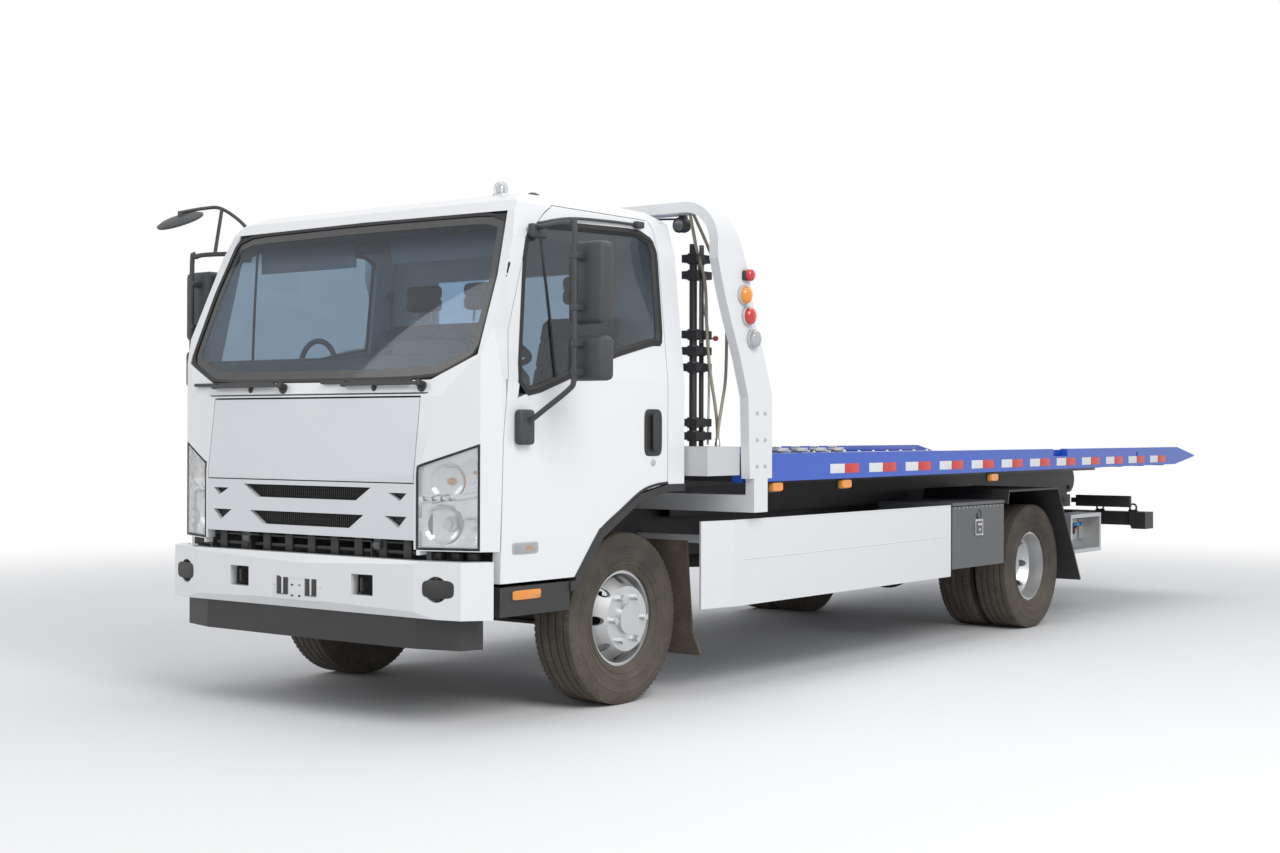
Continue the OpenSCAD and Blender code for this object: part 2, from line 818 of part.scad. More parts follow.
module steering_wheel() {
    color("dimgray") from_axle() translate(wheel_at) rotate([-column_lean, 0, 0]) {
        rotate_extrude() translate([steering_wheel_dia / 2 - 14, 0]) circle(r = 14);
        translate([0, 0, -45]) cylinder(r = 55, h = 55);
        for (a = [30, 150, 270]) rotate([0, 0, a])
            translate([40, -15, -12]) cube([steering_wheel_dia / 2 - 50, 30, 12]);
    }
}

// One wiper lying along the foot of the windscreen: arm, blade and pivot cap
module wiper(x) {
    slope = atan2(header_z - cowl_z, -744 - cab_front - 68);
    translate([x, wiper_pivot[0], wiper_pivot[1]]) rotate([slope, 0, 0]) {
        translate([0, 0, 0]) cylinder(r = 16, h = 34);
        translate([-470, -7, 22]) cube([472, 14, 8]);
        translate([-620, 8, 8]) cube([560, 12, 12]);
        translate([-480, -7, 12]) cube([24, 26, 14]);
    }
}

module left_wiper() { color("dimgray") from_axle() wiper(670); }
module right_wiper() { color("dimgray") from_axle() wiper(-205); }

module door() {
    difference() {
        intersection() {
            cab_shell(0, cab_wall);
            across([700, cab_x + 1]) polygon(door_outline(door_gap));
        }
        across([700, cab_x + 1]) polygon(door_window);
    }
}

module door_glass() {
    intersection() {
        cab_shell(14, 20);
        across([700, cab_x + 1]) polygon(door_window);
    }
}

// Mirror housings: [x, y, z] of the middle, then the half sizes
mirror_housings = [
    [1266, -650, 1895, 95, 47, 175],
    [1266, -650, 1575, 95, 50, 95]
];

module mirrors() {
    difference() {
        union() {
            for (h = mirror_housings) {
                block(about(h[0], h[3]), about(h[1], h[4]), about(h[2], h[5]));
                block(about(1250, 16), [-752, -690], about(h[2], 16));
            }
            rod([1250, -740, 1459], [1250, -740, 2150], 12);
            rod([1250, -740, 2144], [930, -650, 2150], 12);
            rod([1250, -740, 1465], [1020, -802, 1283], 12);
            block([900, 962], about(-650, 50), [2100, 2160]);
            block([cab_x - 20, cab_x + 42], about(-802, 52), [1205, 1360]);
        }
        cab_body(-0.5);
    }
}

module left_door() { color("white") from_axle() door(); }
module right_door() { color("white") from_axle() mirror([1, 0, 0]) door(); }
module left_door_glass() { color("lightblue", 0.4) from_axle() door_glass(); }
module right_door_glass() { color("lightblue", 0.4) from_axle() mirror([1, 0, 0]) door_glass(); }
module left_mirrors() { color("dimgray") from_axle() mirrors(); }

module right_mirrors() {
    color("dimgray") from_axle() {
        mirror([1, 0, 0]) mirrors();
        // Truss and round mirror that looks down on the front corner
        difference() {
            union() {
                rod([-900, -590, 2180], [-1150, -634, 2395], 10);
                rod([-1150, -634, 2395], [-1200, -850, 2350], 10);
                rod([-1150, -634, 2395], [-1120, -702, 2149], 8);
                translate([-1150, -634, 2395]) sphere(r = 13);
                translate([-1200, -850, 2300]) rotate([25, 0, 0]) cylinder(r = 120, h = 30);
                translate([-1200, -850, 2315]) cylinder(r = 14, h = 45);
            }
            cab_body(-0.5);
        }
    }
}

// ---- Wheels ----

// Tyre ring about the X axis, its middle at x = 0
module tyre() {
    w = tyre_width / 2;
    r = tyre_dia / 2;
    rotate([0, 90, 0]) rotate_extrude() polygon([
        [rim_r, -75], [rim_r + 15, -75], [rim_r + 22, -w + 14], [r - 90, -w], [r - 26, -w + 12],
        [r - 8, -w + 20], [r, -w + 36], [r, w - 36], [r - 8, w - 20], [r - 26, w - 12],
        [r - 90, w], [rim_r + 22, w - 14], [rim_r + 15, 75], [rim_r, 75]
    ]);
}

// Rim about the X axis; its disc reaches out to the mounting face at x = face
module rim(face, hub_r) {
    difference() {
        rotate([0, 90, 0]) rotate_extrude() polygon([
            [rim_r - 14, -83], [rim_r + 14, -83], [rim_r + 14, -76], [rim_r - seat_gap, -76],
            [rim_r - seat_gap, 76], [rim_r + 14, 76], [rim_r + 14, 83], [rim_r - 14, 83],
            [rim_r - 14, 30], [150, face], [hub_r, face], [hub_r, face - 11], [144, face - 11],
            [rim_r - 14, 12]
        ]);
        for (a = [0:45:315]) rotate([a, 0, 0])
            translate([0, 0, 178]) rotate([0, 90, 0]) cylinder(r = 21, h = 200);
    }
}

module nuts(x, height) {
    for (a = [30:60:330]) rotate([a, 0, 0])
        translate([x, 0, nut_circle / 2]) rotate([0, 90, 0]) cylinder(r = 17, h = height, $fn = 6);
}

module front_rim() {
    rim(122, 70);
    difference() {
        union() {
            rotate([0, 90, 0]) translate([0, 0, 40]) cylinder(r = 70.5, h = 100);
            nuts(121, 30);
        }
        rotate([0, 90, 0]) translate([0, 0, 39]) cylinder(r = spindle_r + pin_gap, h = 75);
    }
}

module twin_rims() {
    outer = twin_spacing / 2;
    translate([outer, 0, 0]) mirror([1, 0, 0]) rim(outer - seat_gap, 80);
    translate([-outer, 0, 0]) rim(outer - seat_gap, 80);
    difference() {
        union() {
            rotate([0, 90, 0]) translate([0, 0, -90]) cylinder(r = 79.5, h = 200);
            nuts(11.5, 32);
        }
        rotate([0, 90, 0]) translate([0, 0, -91]) cylinder(r = axle_stub_r + pin_gap, h = 160);
    }
}

module at_front_wheel() { from_axle() translate([wheel_x, 0, axle_z]) children(); }
module at_rear_wheel() { from_axle() translate([twin_x, wheelbase, axle_z]) children(); }

module front_left_rim() { color("silver") at_front_wheel() front_rim(); }
module front_right_rim() { color("silver") mirror([1, 0, 0]) at_front_wheel() front_rim(); }
module front_left_tyre() { color("dimgray") at_front_wheel() tyre(); }
module front_right_tyre() { color("dimgray") mirror([1, 0, 0]) at_front_wheel() tyre(); }
module rear_left_rims() { color("silver") at_rear_wheel() twin_rims(); }
module rear_right_rims() { color("silver") mirror([1, 0, 0]) at_rear_wheel() twin_rims(); }

module twin_tyres() {
    for (s = [-1, 1]) translate([s * twin_spacing / 2, 0, 0]) tyre();
}

module rear_left_tyres() { color("dimgray") at_rear_wheel() twin_tyres(); }
module rear_right_tyres() { color("dimgray") mirror([1, 0, 0]) at_rear_wheel() twin_tyres(); }

// Fork around the axle beam's end, with the spindle that carries the front wheel
module knuckle() {
    difference() {
        union() {
            for (z = [285, 458]) {
                translate([kingpin_x, 0, z]) cylinder(r = 38, h = 34);
                block([kingpin_x, wheel_x + 24], about(0, 30), [z, z + 34]);
            }
            block([wheel_x, wheel_x + 24], about(0, 30), [286, 491]);
            bar_across([wheel_x + 20, wheel_x + 110], [0, axle_z], spindle_r);
            bar_across([wheel_x + 4, wheel_x + 24], [0, axle_z], 90);
        }
        translate([kingpin_x, 0, 200]) cylinder(r = kingpin_r + pin_gap, h = 400);
    }
}

module left_knuckle() { color("dimgray") from_axle() knuckle(); }
module right_knuckle() { color("dimgray") from_axle() mirror([1, 0, 0]) knuckle(); }

// ---- Tilt frame, deck and winch ----

module tilt_frame() {
    color("dimgray") from_axle() {
        both_sides() difference() {
            union() {
                across([tilt_in, tilt_out]) tilt_rail_side(0);
                block([tilt_in, tilt_out + 25], [tilt_front, pivot_y - 50], [tilt_top - 10, tilt_top]);
            }
            across([tilt_in + 8, tilt_out - 8]) tilt_rail_side(8);
            bar_across([tilt_in - 1, tilt_out + 1], [pivot_y, pivot_z], pivot_pin_r + pin_gap);
        }
        difference() {
            union() {
                for (y = [1040, 1900, 2700, 3340, 4880])
                    block(about(0, tilt_in + 1), about(y, 40), [subframe_top + 12, tilt_top - 12]);
                block(about(0, tilt_in + 1), about(5900, 90), [subframe_top + 6, subframe_top + 20]);
                bar_along(slide_barrel, [0, slide_z], slide_barrel_r);
                // Ears for the lift rods
                both_sides() for (x = [lift_x - 40, lift_x + 30])
                    block([x, x + 10], [lift_top[0] - 45, 4841], about(lift_top[1], 38));
            }
            bar_along([slide_barrel[0] + 20, slide_barrel[1] + 1], [0, slide_z], slide_rod_r + 8);
        }
    }
}

module tilt_rail_side(inset) {
    radius = (tilt_top - tilt_bottom) / 2;
    translate([tilt_front - (inset > 0 ? 1 : 0), tilt_bottom + inset])
        square([tilt_rear - radius - tilt_front, 2 * radius - 2 * inset]);
    translate([tilt_rear - radius, tilt_bottom + radius]) circle(r = radius - inset);
}

lift_x = 165;
lift_base = [3500, 700];
lift_top = [4750, 925];
lift_angle = atan2(lift_top[1] - lift_base[1], lift_top[0] - lift_base[0]);
lift_length = norm(lift_top - lift_base);
lift_pin_r = 15;

// Places a piece along the lift cylinder's axis, from its lower pin
module on_lift_axis(x) {
    translate([x, lift_base[0], lift_base[1]]) rotate([lift_angle, 0, 0]) children();
}

module lift_barrels() {
    color("dimgray") from_axle() for (x = [-lift_x, lift_x]) on_lift_axis(x) difference() {
        union() {
            bar_across(about(0, 22), [0, 0], 36);
            bar_along([20, 60], [0, 0], 21);
            bar_along([50, 980], [0, 0], 40);
        }
        bar_across(about(0, 23), [0, 0], lift_pin_r + pin_gap);
        bar_along([60, 981], [0, 0], 30);
    }
}

module lift_rods() {
    color("silver") from_axle() for (x = [-lift_x, lift_x]) on_lift_axis(x) difference() {
        union() {
            bar_along([800, lift_length - 24], [0, 0], 22);
            bar_along([800, 850], [0, 0], 30 - pin_gap);
            bar_across(about(0, 20), [lift_length, 0], 30);
        }
        bar_across(about(0, 23), [lift_length, 0], lift_pin_r);
    }
}

module deck() {
    inner = deck_x - side_rail_width;
    span = tail_break - 170 - deck_front - 90;
    color("steelblue") from_axle() {
        across(about(0, inner)) polygon([
            [deck_front, floor_z - floor_thickness], [tail_break - 60, floor_z - floor_thickness],
            [tail_break - 50, member_bottom + 8], [tail_reach, floor_z - 24], [tail_reach, floor_z - 15],
            [tail_break, floor_z], [deck_front, floor_z]
        ]);
        block(about(0, inner), [deck_front, deck_front + 40], [member_bottom, deck_top]);
        for (k = [0:cross_member_count - 1])
            block(about(0, inner), about(deck_front + 90 + k * span / (cross_member_count - 1), 30),
                  [member_bottom, floor_z - 1]);
        block(about(0, 200), about(slide_rod_end - 20, 40), [member_bottom, floor_z - 1]);
        // Raised seat of the winch
        block(about(0, 310), about(winch_at[0], 130), [floor_z - 1, winch_seat]);
        // Runners that hook under the flanges of the tilt frame
        both_sides() along([runner_front, tail_break - 100]) polygon([
            [tilt_in, tilt_top + seat_gap], [tilt_out + 26, tilt_top + seat_gap],
            [tilt_out + 26 + slide_gap, tilt_top - 10 - slide_gap], [tilt_out + slide_gap, tilt_top - 10 - slide_gap],
            [tilt_out + slide_gap, tilt_top - 30], [tilt_out + 40, tilt_top - 30],
            [tilt_out + 40, floor_z - 1], [tilt_in, floor_z - 1]
        ]);
    }
}

module deck_rails() {
    color("steelblue") from_axle() both_sides() difference() {
        across([deck_x - side_rail_width, deck_x]) polygon([
            [deck_front - 5, deck_bottom], [tail_break - 50, deck_bottom + 13],
            [tail_reach, floor_z - 24], [tail_reach, floor_z - 15], [tail_break, deck_top],
            [deck_front - 5, deck_top]
        ]);
        // Stake notch, drain slot and lashing holes
        block([deck_x - side_rail_width - 1, deck_x + 1], [4361, 4584], [floor_z, deck_top + 1]);
        block([deck_x - 10, deck_x + 1], [5790, 5812], [deck_bottom + 30, deck_top - 30]);
        for (y = [1200:600:6000])
            bar_across([deck_x - side_rail_width - 1, deck_x - side_rail_width + 20],
                       [y, deck_top - 24], 18);
    }
}

module slide_rod() {
    color("silver") from_axle() {
        bar_along([slide_barrel[0] + 100, slide_rod_end - 1], [0, slide_z], slide_rod_r);
        bar_along([slide_barrel[0] + 60, slide_barrel[0] + 101], [0, slide_z], slide_rod_r + 8 - pin_gap);
        block(about(0, slide_rod_r), [slide_rod_end - 40, slide_rod_end],
              [slide_z - slide_rod_r, member_bottom - seat_gap]);
    }
}

winch_at = [900, floor_z + 122];
winch_seat = floor_z + 6;

module winch() {
    color("dimgray") from_axle() difference() {
        union() {
            block(about(0, 300), about(winch_at[0], 120), [winch_seat + seat_gap, winch_seat + 12]);
            for (s = [-1, 1])
                block(about(s * 240, 8), about(winch_at[0], 105), [winch_seat + 11, floor_z + 225]);
            bar_across([247, 430], winch_at, 62);
            bar_across([-400, -247], winch_at, 88);
        }
        bar_across(about(0, 249), winch_at, 18 + pin_gap);
    }
}

module winch_drum() {
    color("silver") from_axle() {
        bar_across(about(0, 247), winch_at, 18);
        bar_across(about(0, 225), winch_at, 62);
        for (s = [-1, 1]) bar_across(about(s * 218, 7), winch_at, 98);
    }
}

// ---- Wheel lift ----

module underlift_boom() {
    half = boom_side / 2;
    color("dimgray") from_axle() difference() {
        block(about(0, half), [boom_pivot_y - 60, 6150], about(boom_z, half));
        block(about(0, half - boom_wall), [boom_pivot_y + 90, 6151], about(boom_z, half - boom_wall));
        bar_across(about(0, half + 1), [boom_pivot_y, boom_z], boom_pin_r + pin_gap);
    }
}

module underlift_slider() {
    half = boom_side / 2 - boom_wall - 0.5;
    color("dimgray") from_axle() {
        block(about(0, half), [boom_pivot_y + 120, 6200], about(boom_z, half));
        block(about(0, 60), [6190, crossbar_y - 110], about(boom_z, crossbar_height / 2 + 24));
        for (z = [boom_z - crossbar_height / 2 - 24, boom_z + crossbar_height / 2 + 6])
            block(about(0, 60), [crossbar_y - 111, crossbar_y + 60], [z, z + 18]);
        translate([0, crossbar_y, boom_z - crossbar_height / 2 - 20])
            cylinder(r = crossbar_pin_r, h = crossbar_height + 40);
    }
}

module crossbar() {
    half = crossbar_length / 2;
    head = half - 125;
    color("dimgray") from_axle() difference() {
        union() {
            block(about(0, half - 20), about(crossbar_y, 60), about(boom_z, crossbar_height / 2));
            both_sides() along(about(crossbar_y, 80)) polygon([
                [head, crossbar_top], [half, crossbar_top], [half, 545], [head + 20, 545], [head, 590]
            ]);
        }
        translate([0, crossbar_y, 400]) cylinder(r = crossbar_pin_r + pin_gap, h = 400);
        both_sides() translate([half - 55, crossbar_y, 400]) cylinder(r = socket_r, h = 400);
    }
}

chassis_frame();
axles();
leaf_springs();
powertrain();
fuel_tank();
front_bumper();
air_dam();
front_mudguards();
side_skirts();
toolboxes();
rear_mudguards();
control_boxes();
gantry();
equipment_tray();
fork_rack();
chassis_lamps();
cab_floor();
step_panels();
cab_back_wall();
cab_roof();
cab_pillars();
front_panels();
grille();
service_lid();
cab_lamps();
cab_glass();
dashboard();
seats();
steering_wheel();
left_wiper();
right_wiper();
left_door();
left_door_glass();
left_mirrors();
right_door();
right_door_glass();
right_mirrors();
left_knuckle();
front_left_rim();
front_left_tyre();
right_knuckle();
front_right_rim();
front_right_tyre();
rear_left_rims();
rear_left_tyres();
rear_right_rims();
rear_right_tyres();
tilt_frame();
lift_barrels();
lift_rods();
deck();
deck_rails();
slide_rod();
winch();
winch_drum();
underlift_boom();
underlift_slider();
crossbar();
left_toolbox_door();
right_toolbox_door();
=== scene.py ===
import math
import bpy, bmesh
from mathutils import Matrix, Vector


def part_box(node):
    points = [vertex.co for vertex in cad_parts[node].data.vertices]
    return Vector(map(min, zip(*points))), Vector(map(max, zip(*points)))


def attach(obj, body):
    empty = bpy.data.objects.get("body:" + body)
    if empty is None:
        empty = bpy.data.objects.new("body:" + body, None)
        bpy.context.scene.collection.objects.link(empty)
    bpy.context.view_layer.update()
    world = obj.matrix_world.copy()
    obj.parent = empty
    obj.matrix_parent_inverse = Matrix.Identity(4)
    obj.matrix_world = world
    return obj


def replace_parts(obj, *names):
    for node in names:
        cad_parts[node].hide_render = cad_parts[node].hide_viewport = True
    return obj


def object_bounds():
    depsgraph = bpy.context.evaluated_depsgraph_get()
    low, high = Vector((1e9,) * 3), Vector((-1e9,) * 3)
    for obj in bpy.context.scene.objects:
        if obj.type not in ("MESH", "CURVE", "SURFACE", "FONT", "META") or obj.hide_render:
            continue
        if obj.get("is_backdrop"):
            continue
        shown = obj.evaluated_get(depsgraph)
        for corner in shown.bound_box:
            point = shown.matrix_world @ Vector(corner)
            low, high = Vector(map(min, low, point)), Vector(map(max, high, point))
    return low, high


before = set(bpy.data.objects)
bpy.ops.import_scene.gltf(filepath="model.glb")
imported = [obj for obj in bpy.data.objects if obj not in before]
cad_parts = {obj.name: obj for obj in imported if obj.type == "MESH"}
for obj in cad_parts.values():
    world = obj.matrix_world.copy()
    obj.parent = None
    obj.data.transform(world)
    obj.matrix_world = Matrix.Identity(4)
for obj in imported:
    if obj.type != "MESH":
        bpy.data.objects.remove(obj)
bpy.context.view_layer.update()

# ---- Camera, floor and light ----
# A plain pale studio: a wide floor that fades to white, a white room seen by the camera and in reflections,
# and three large soft lamps. The camera stands at the truck's left front corner, at chest height.

tyre_low, tyre_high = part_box("front_left_tyre")
axle_y = (tyre_low.y + tyre_high.y) / 2
scene = bpy.context.scene
scene.view_settings.view_transform = "Standard"


def spot(x, y, z):
    """A point in metres from mm: x from the middle, y behind the front axle, z from the ground."""
    return Vector((x / 1000, y / 1000 + axle_y, z / 1000))


lens = bpy.data.cameras.new("camera")
lens.lens, lens.sensor_width = 49.64, 36.0
lens.clip_end = 200
camera = bpy.data.objects.new("camera", lens)
scene.collection.objects.link(camera)
scene.camera = camera
yaw, pitch, roll = (math.radians(a) for a in (37.185, 0.128, 0.159))
ahead = Vector((-math.sin(yaw) * math.cos(pitch), math.cos(yaw) * math.cos(pitch), math.sin(pitch)))
right = Vector((math.cos(yaw), math.sin(yaw), 0))
up = right.cross(ahead)
right, up = (math.cos(roll) * right + math.sin(roll) * up, -math.sin(roll) * right + math.cos(roll) * up)
turn = Matrix((right, up, -ahead)).transposed().to_4x4()
camera.matrix_world = Matrix.Translation((5.953, -9.387, 1.270)) @ turn


def node(tree, kind, inputs=(), **values):
    """A node of a shader or geometry tree, with its settings and its inputs by name or number."""
    made = tree.nodes.new(kind)
    for key, value in values.items():
        setattr(made, key, value)
    for key, value in dict(inputs).items():
        if hasattr(value, "is_output"):
            tree.links.new(value, made.inputs[key])
        else:
            made.inputs[key].default_value = value
    return made


def mix(tree, factor, low, high):
    """A blend of two colours."""
    return node(tree, "ShaderNodeMix", {0: factor, 6: low, 7: high}, data_type="RGBA").outputs[2]


def on_piece(tree):
    """The place on the piece itself."""
    return node(tree, "ShaderNodeTexCoord").outputs["Object"]


def noise(tree, place, scale, detail, rough=0.5):
    """Soft noise from 0 to 1."""
    return node(tree, "ShaderNodeTexNoise", {"Vector": place, "Scale": scale, "Detail": detail,
                                             "Roughness": rough}).outputs["Fac"]


def reckon(tree, operation, *values, clamp=False):
    """Arithmetic on up to three values."""
    return node(tree, "ShaderNodeMath", dict(enumerate(values)), operation=operation,
                use_clamp=clamp).outputs[0]


def share(tree, value, start, end=(0.0, 1.0)):
    """A value brought from one range to another."""
    return node(tree, "ShaderNodeMapRange", {"Value": value, "From Min": start[0], "From Max": start[1],
                                             "To Min": end[0], "To Max": end[1]}).outputs["Result"]


def soft_white(tree, plain, white):
    """A mix of two background strengths: plain light on the truck, white where it is seen or mirrored."""
    path = node(tree, "ShaderNodeLightPath")
    seen = node(tree, "ShaderNodeMath", {0: path.outputs["Is Camera Ray"], 1: path.outputs["Is Glossy Ray"]},
                operation="MAXIMUM")
    seen = node(tree, "ShaderNodeMath", {0: seen.outputs[0], 1: path.outputs["Is Transmission Ray"]},
                operation="MAXIMUM")
    return mix(tree, seen.outputs[0], plain, white)


world = bpy.data.worlds.new("studio")
world.use_nodes = True
scene.world = world
sky = world.node_tree
sky.nodes.clear()
glow = node(sky, "ShaderNodeBackground", {"Color": soft_white(sky, (0.44, 0.455, 0.48, 1), (1, 1, 1, 1))})
sky.links.new(glow.outputs[0], node(sky, "ShaderNodeOutputWorld").inputs["Surface"])

studio_floor = bpy.data.materials.new("studio_floor")
studio_floor.use_nodes = True
tree = studio_floor.node_tree
tree.nodes.clear()
place = on_piece(tree)
far = node(tree, "ShaderNodeVectorMath", {0: place}, operation="LENGTH").outputs["Value"]
fade = node(tree, "ShaderNodeMapRange", {"Value": far, "From Min": 4.5, "From Max": 11.0},
            interpolation_type="SMOOTHSTEP").outputs["Result"]
speck = noise(tree, place, 40.0, 4.0)
tint = node(tree, "ShaderNodeMix", {0: speck, 6: (0.83, 0.83, 0.83, 1), 7: (0.87, 0.87, 0.87, 1)},
            data_type="RGBA")
plain = node(tree, "ShaderNodeBsdfPrincipled", {"Base Color": tint.outputs[2], "Roughness": 0.7})
white = node(tree, "ShaderNodeEmission", {"Color": soft_white(tree, (0.62, 0.64, 0.67, 1), (1, 1, 1, 1))})
mixed = node(tree, "ShaderNodeMixShader", {0: fade, 1: plain.outputs[0], 2: white.outputs[0]})
tree.links.new(mixed.outputs[0], node(tree, "ShaderNodeOutputMaterial").inputs["Surface"])

ground = bmesh.new()
bmesh.ops.create_circle(ground, cap_ends=True, radius=60, segments=96)
mesh = bpy.data.meshes.new("floor")
ground.to_mesh(mesh)
mesh.materials.append(studio_floor)
floor = bpy.data.objects.new("floor", mesh)
scene.collection.objects.link(floor)
floor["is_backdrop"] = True

for name, position, size, power in (("key", (9.0, -6.0, 8.0), 7.0, 760),
                                    ("front", (-5.0, -11.0, 6.0), 7.0, 170), ("top", (0.5, 1.5, 10.5), 8.0,
                                                                              300)):
    lamp = bpy.data.lights.new(name, "AREA")
    lamp.size, lamp.energy = size, power
    lamp.shape = "DISK"
    stand = bpy.data.objects.new(name, lamp)
    stand.location = position
    stand.rotation_euler = (Vector((0, 0, 1)) - Vector(position)).to_track_quat("-Z", "Y").to_euler()
    scene.collection.objects.link(stand)

# ---- Paint, plastic and bare metal ----
# Every finish carries the same road film: thin dust that lies on upper faces and thickens low down.
# Its group reads the place on the truck, so that neighbouring panels agree.

film_group = bpy.data.node_groups.new("road_film", "ShaderNodeTree")
for label, start in (("Scale", 2.5), ("Amount", 0.3), ("Top", 1.0), ("Grain Scale", 300.0)):
    film_group.interface.new_socket(label, in_out="INPUT",
                                    socket_type="NodeSocketFloat").default_value = start
for label in ("Film", "Shade", "Grain"):
    film_group.interface.new_socket(label, in_out="OUTPUT", socket_type="NodeSocketFloat")
given = film_group.nodes.new("NodeGroupInput")
place = on_piece(film_group)
broad = noise(film_group, place, given.outputs["Scale"], 5.0, 0.6)
tight = reckon(film_group, "MULTIPLY", given.outputs["Scale"], 11.0)
spots = noise(film_group, place, tight, 8.0, 0.7)
grain = noise(film_group, place, given.outputs["Grain Scale"], 2.0)
height = node(film_group, "ShaderNodeSeparateXYZ", {0: place}).outputs["Z"]
low = share(film_group, height, (0.15, given.outputs["Top"]), (1.0, 0.0))
facing = node(film_group, "ShaderNodeSeparateXYZ",
              {0: node(film_group, "ShaderNodeNewGeometry").outputs["Normal"]}).outputs["Z"]
lying = reckon(film_group, "MULTIPLY", facing, 0.35, clamp=True)
patch = share(film_group, broad, (0.42, 0.72))
splash = reckon(film_group, "MULTIPLY", low, spots)
total = reckon(film_group, "ADD", lying, splash)
total = reckon(film_group, "MULTIPLY_ADD", patch, 0.35, total)
total = reckon(film_group, "MULTIPLY", total, given.outputs["Amount"], clamp=True)
taken = film_group.nodes.new("NodeGroupOutput")
for label, value in (("Film", total), ("Shade", broad), ("Grain", grain)):
    film_group.links.new(value, taken.inputs[label])


def blank(name):
    """A new material's tree, with its Principled shader."""
    made = bpy.data.materials.new(name)
    made.use_nodes = True
    return made, made.node_tree, made.node_tree.nodes["Principled BSDF"]


def tones(colour, low, high):
    return [(*(min(1, c * k) for c in colour), 1) for k in (low, high)]


def finish(name, colour, rough, metallic=0.0, film=0.3, dirt=(0.33, 0.29, 0.24), top=1.0, scale=2.5,
           grain=0.0, grain_scale=300.0, coat=0.0, spread=0.08, **sockets):
    """A solid finish: colour that drifts a little, road film, roughness and a fine grain in its bump."""
    made, tree, shader = blank(name)
    dust = node(tree, "ShaderNodeGroup", node_tree=film_group)
    for label, value in (("Scale", scale), ("Amount", film), ("Top", top), ("Grain Scale", grain_scale)):
        dust.inputs[label].default_value = value
    dark, light = tones(colour, 1 - spread, 1 + spread * 0.4)
    base = mix(tree, dust.outputs["Shade"], dark, light)
    base = mix(tree, dust.outputs["Film"], base, (*dirt, 1))
    tree.links.new(base, shader.inputs["Base Color"])
    matt = reckon(tree, "MULTIPLY_ADD", dust.outputs["Film"], 0.45, rough, clamp=True)
    matt = reckon(tree, "MULTIPLY_ADD", dust.outputs["Grain"], 0.08, matt, clamp=True)
    tree.links.new(matt, shader.inputs["Roughness"])
    shader.inputs["Metallic"].default_value = metallic
    if coat:
        clear = reckon(tree, "MULTIPLY_ADD", dust.outputs["Film"], -coat, coat, clamp=True)
        tree.links.new(clear, shader.inputs["Coat Weight"])
    for label, value in sockets.items():
        shader.inputs[label.replace("_", " ")].default_value = value
    relief = reckon(tree, "MULTIPLY_ADD", dust.outputs["Film"], 0.5, dust.outputs["Grain"])
    bump = node(tree, "ShaderNodeBump", {"Height": relief, "Strength": 0.04 + grain, "Distance": 0.002})
    tree.links.new(bump.outputs[0], shader.inputs["Normal"])
    return made


cab_white = finish("cab_white", (0.80, 0.81, 0.82), 0.28, film=0.10, top=0.9, coat=0.6, spread=0.02,
                   dirt=(0.55, 0.52, 0.47), Coat_Roughness=0.06)
# A darker copy of the cab white for the grille and service lid: painted shade for the front face
lid_white_painted_shade = finish("lid_white_painted_shade", (0.72, 0.735, 0.75), 0.30, film=0.10, top=0.9, coat=0.5, spread=0.03,
                   dirt=(0.5, 0.48, 0.44), Coat_Roughness=0.08)
body_white = finish("body_white", (0.76, 0.77, 0.78), 0.38, film=0.16, top=1.2, spread=0.04, coat=0.2,
                    dirt=(0.5, 0.47, 0.42), grain=0.03, grain_scale=120.0)
# Mid grey for the white equipment tray: painted shade for its shaded face under the gantry; the fork clamps'
# plate takes it too
tray_grey_painted_shade = finish("tray_grey_painted_shade", (0.60, 0.61, 0.61), 0.42, film=0.3, top=1.6, spread=0.07, grain=0.06)
deck_blue = finish("deck_blue", (0.012, 0.085, 0.52), 0.33, film=0.10, top=1.4, spread=0.12, coat=0.3,
                   dirt=(0.25, 0.27, 0.33), grain=0.05, grain_scale=160.0)
black_paint = finish("black_paint", (0.018, 0.018, 0.02), 0.42, film=0.30, dirt=(0.12, 0.11, 0.10),
                     spread=0.2, grain=0.08)
box_grey = finish("box_grey", (0.10, 0.105, 0.11), 0.40, film=0.16, dirt=(0.25, 0.24, 0.22), spread=0.1,
                  grain=0.04)
black_plastic = finish("black_plastic", (0.022, 0.022, 0.023), 0.45, film=0.12, dirt=(0.2, 0.19, 0.17),
                       spread=0.15, grain=0.25, grain_scale=900.0)
housing_grey = finish("housing_grey", (0.045, 0.048, 0.052), 0.50, film=0.10, dirt=(0.25, 0.24, 0.22),
                      spread=0.12, grain=0.3, grain_scale=800.0)
trim_grey = finish("trim_grey", (0.12, 0.125, 0.13), 0.6, film=0.1, spread=0.1, grain=0.3, grain_scale=700.0)
silver_paint = finish("silver_paint", (0.55, 0.56, 0.57), 0.34, metallic=0.6, film=0.12,
                      dirt=(0.35, 0.32, 0.28), spread=0.08)
rim_silver = finish("rim_silver", (0.62, 0.63, 0.64), 0.30, metallic=0.75, film=0.14,
                    dirt=(0.40, 0.35, 0.29), scale=9.0, spread=0.1)
cast_metal = finish("cast_metal", (0.035, 0.034, 0.033), 0.6, metallic=0.3, film=0.5,
                    dirt=(0.15, 0.12, 0.10), scale=6.0, spread=0.3, grain=0.5, grain_scale=220.0)
steel = finish("bright_steel", (0.60, 0.60, 0.60), 0.22, metallic=1.0, film=0.08, scale=12.0, spread=0.1)
mud_rubber = finish("mud_rubber", (0.05, 0.042, 0.035), 0.8, film=0.7, dirt=(0.24, 0.19, 0.14), scale=7.0,
                    spread=0.3, grain=0.6, grain_scale=160.0)
seal_rubber = finish("seal_rubber", (0.012, 0.012, 0.013), 0.55, film=0.1, spread=0.2, grain=0.1,
                     grain_scale=600.0)

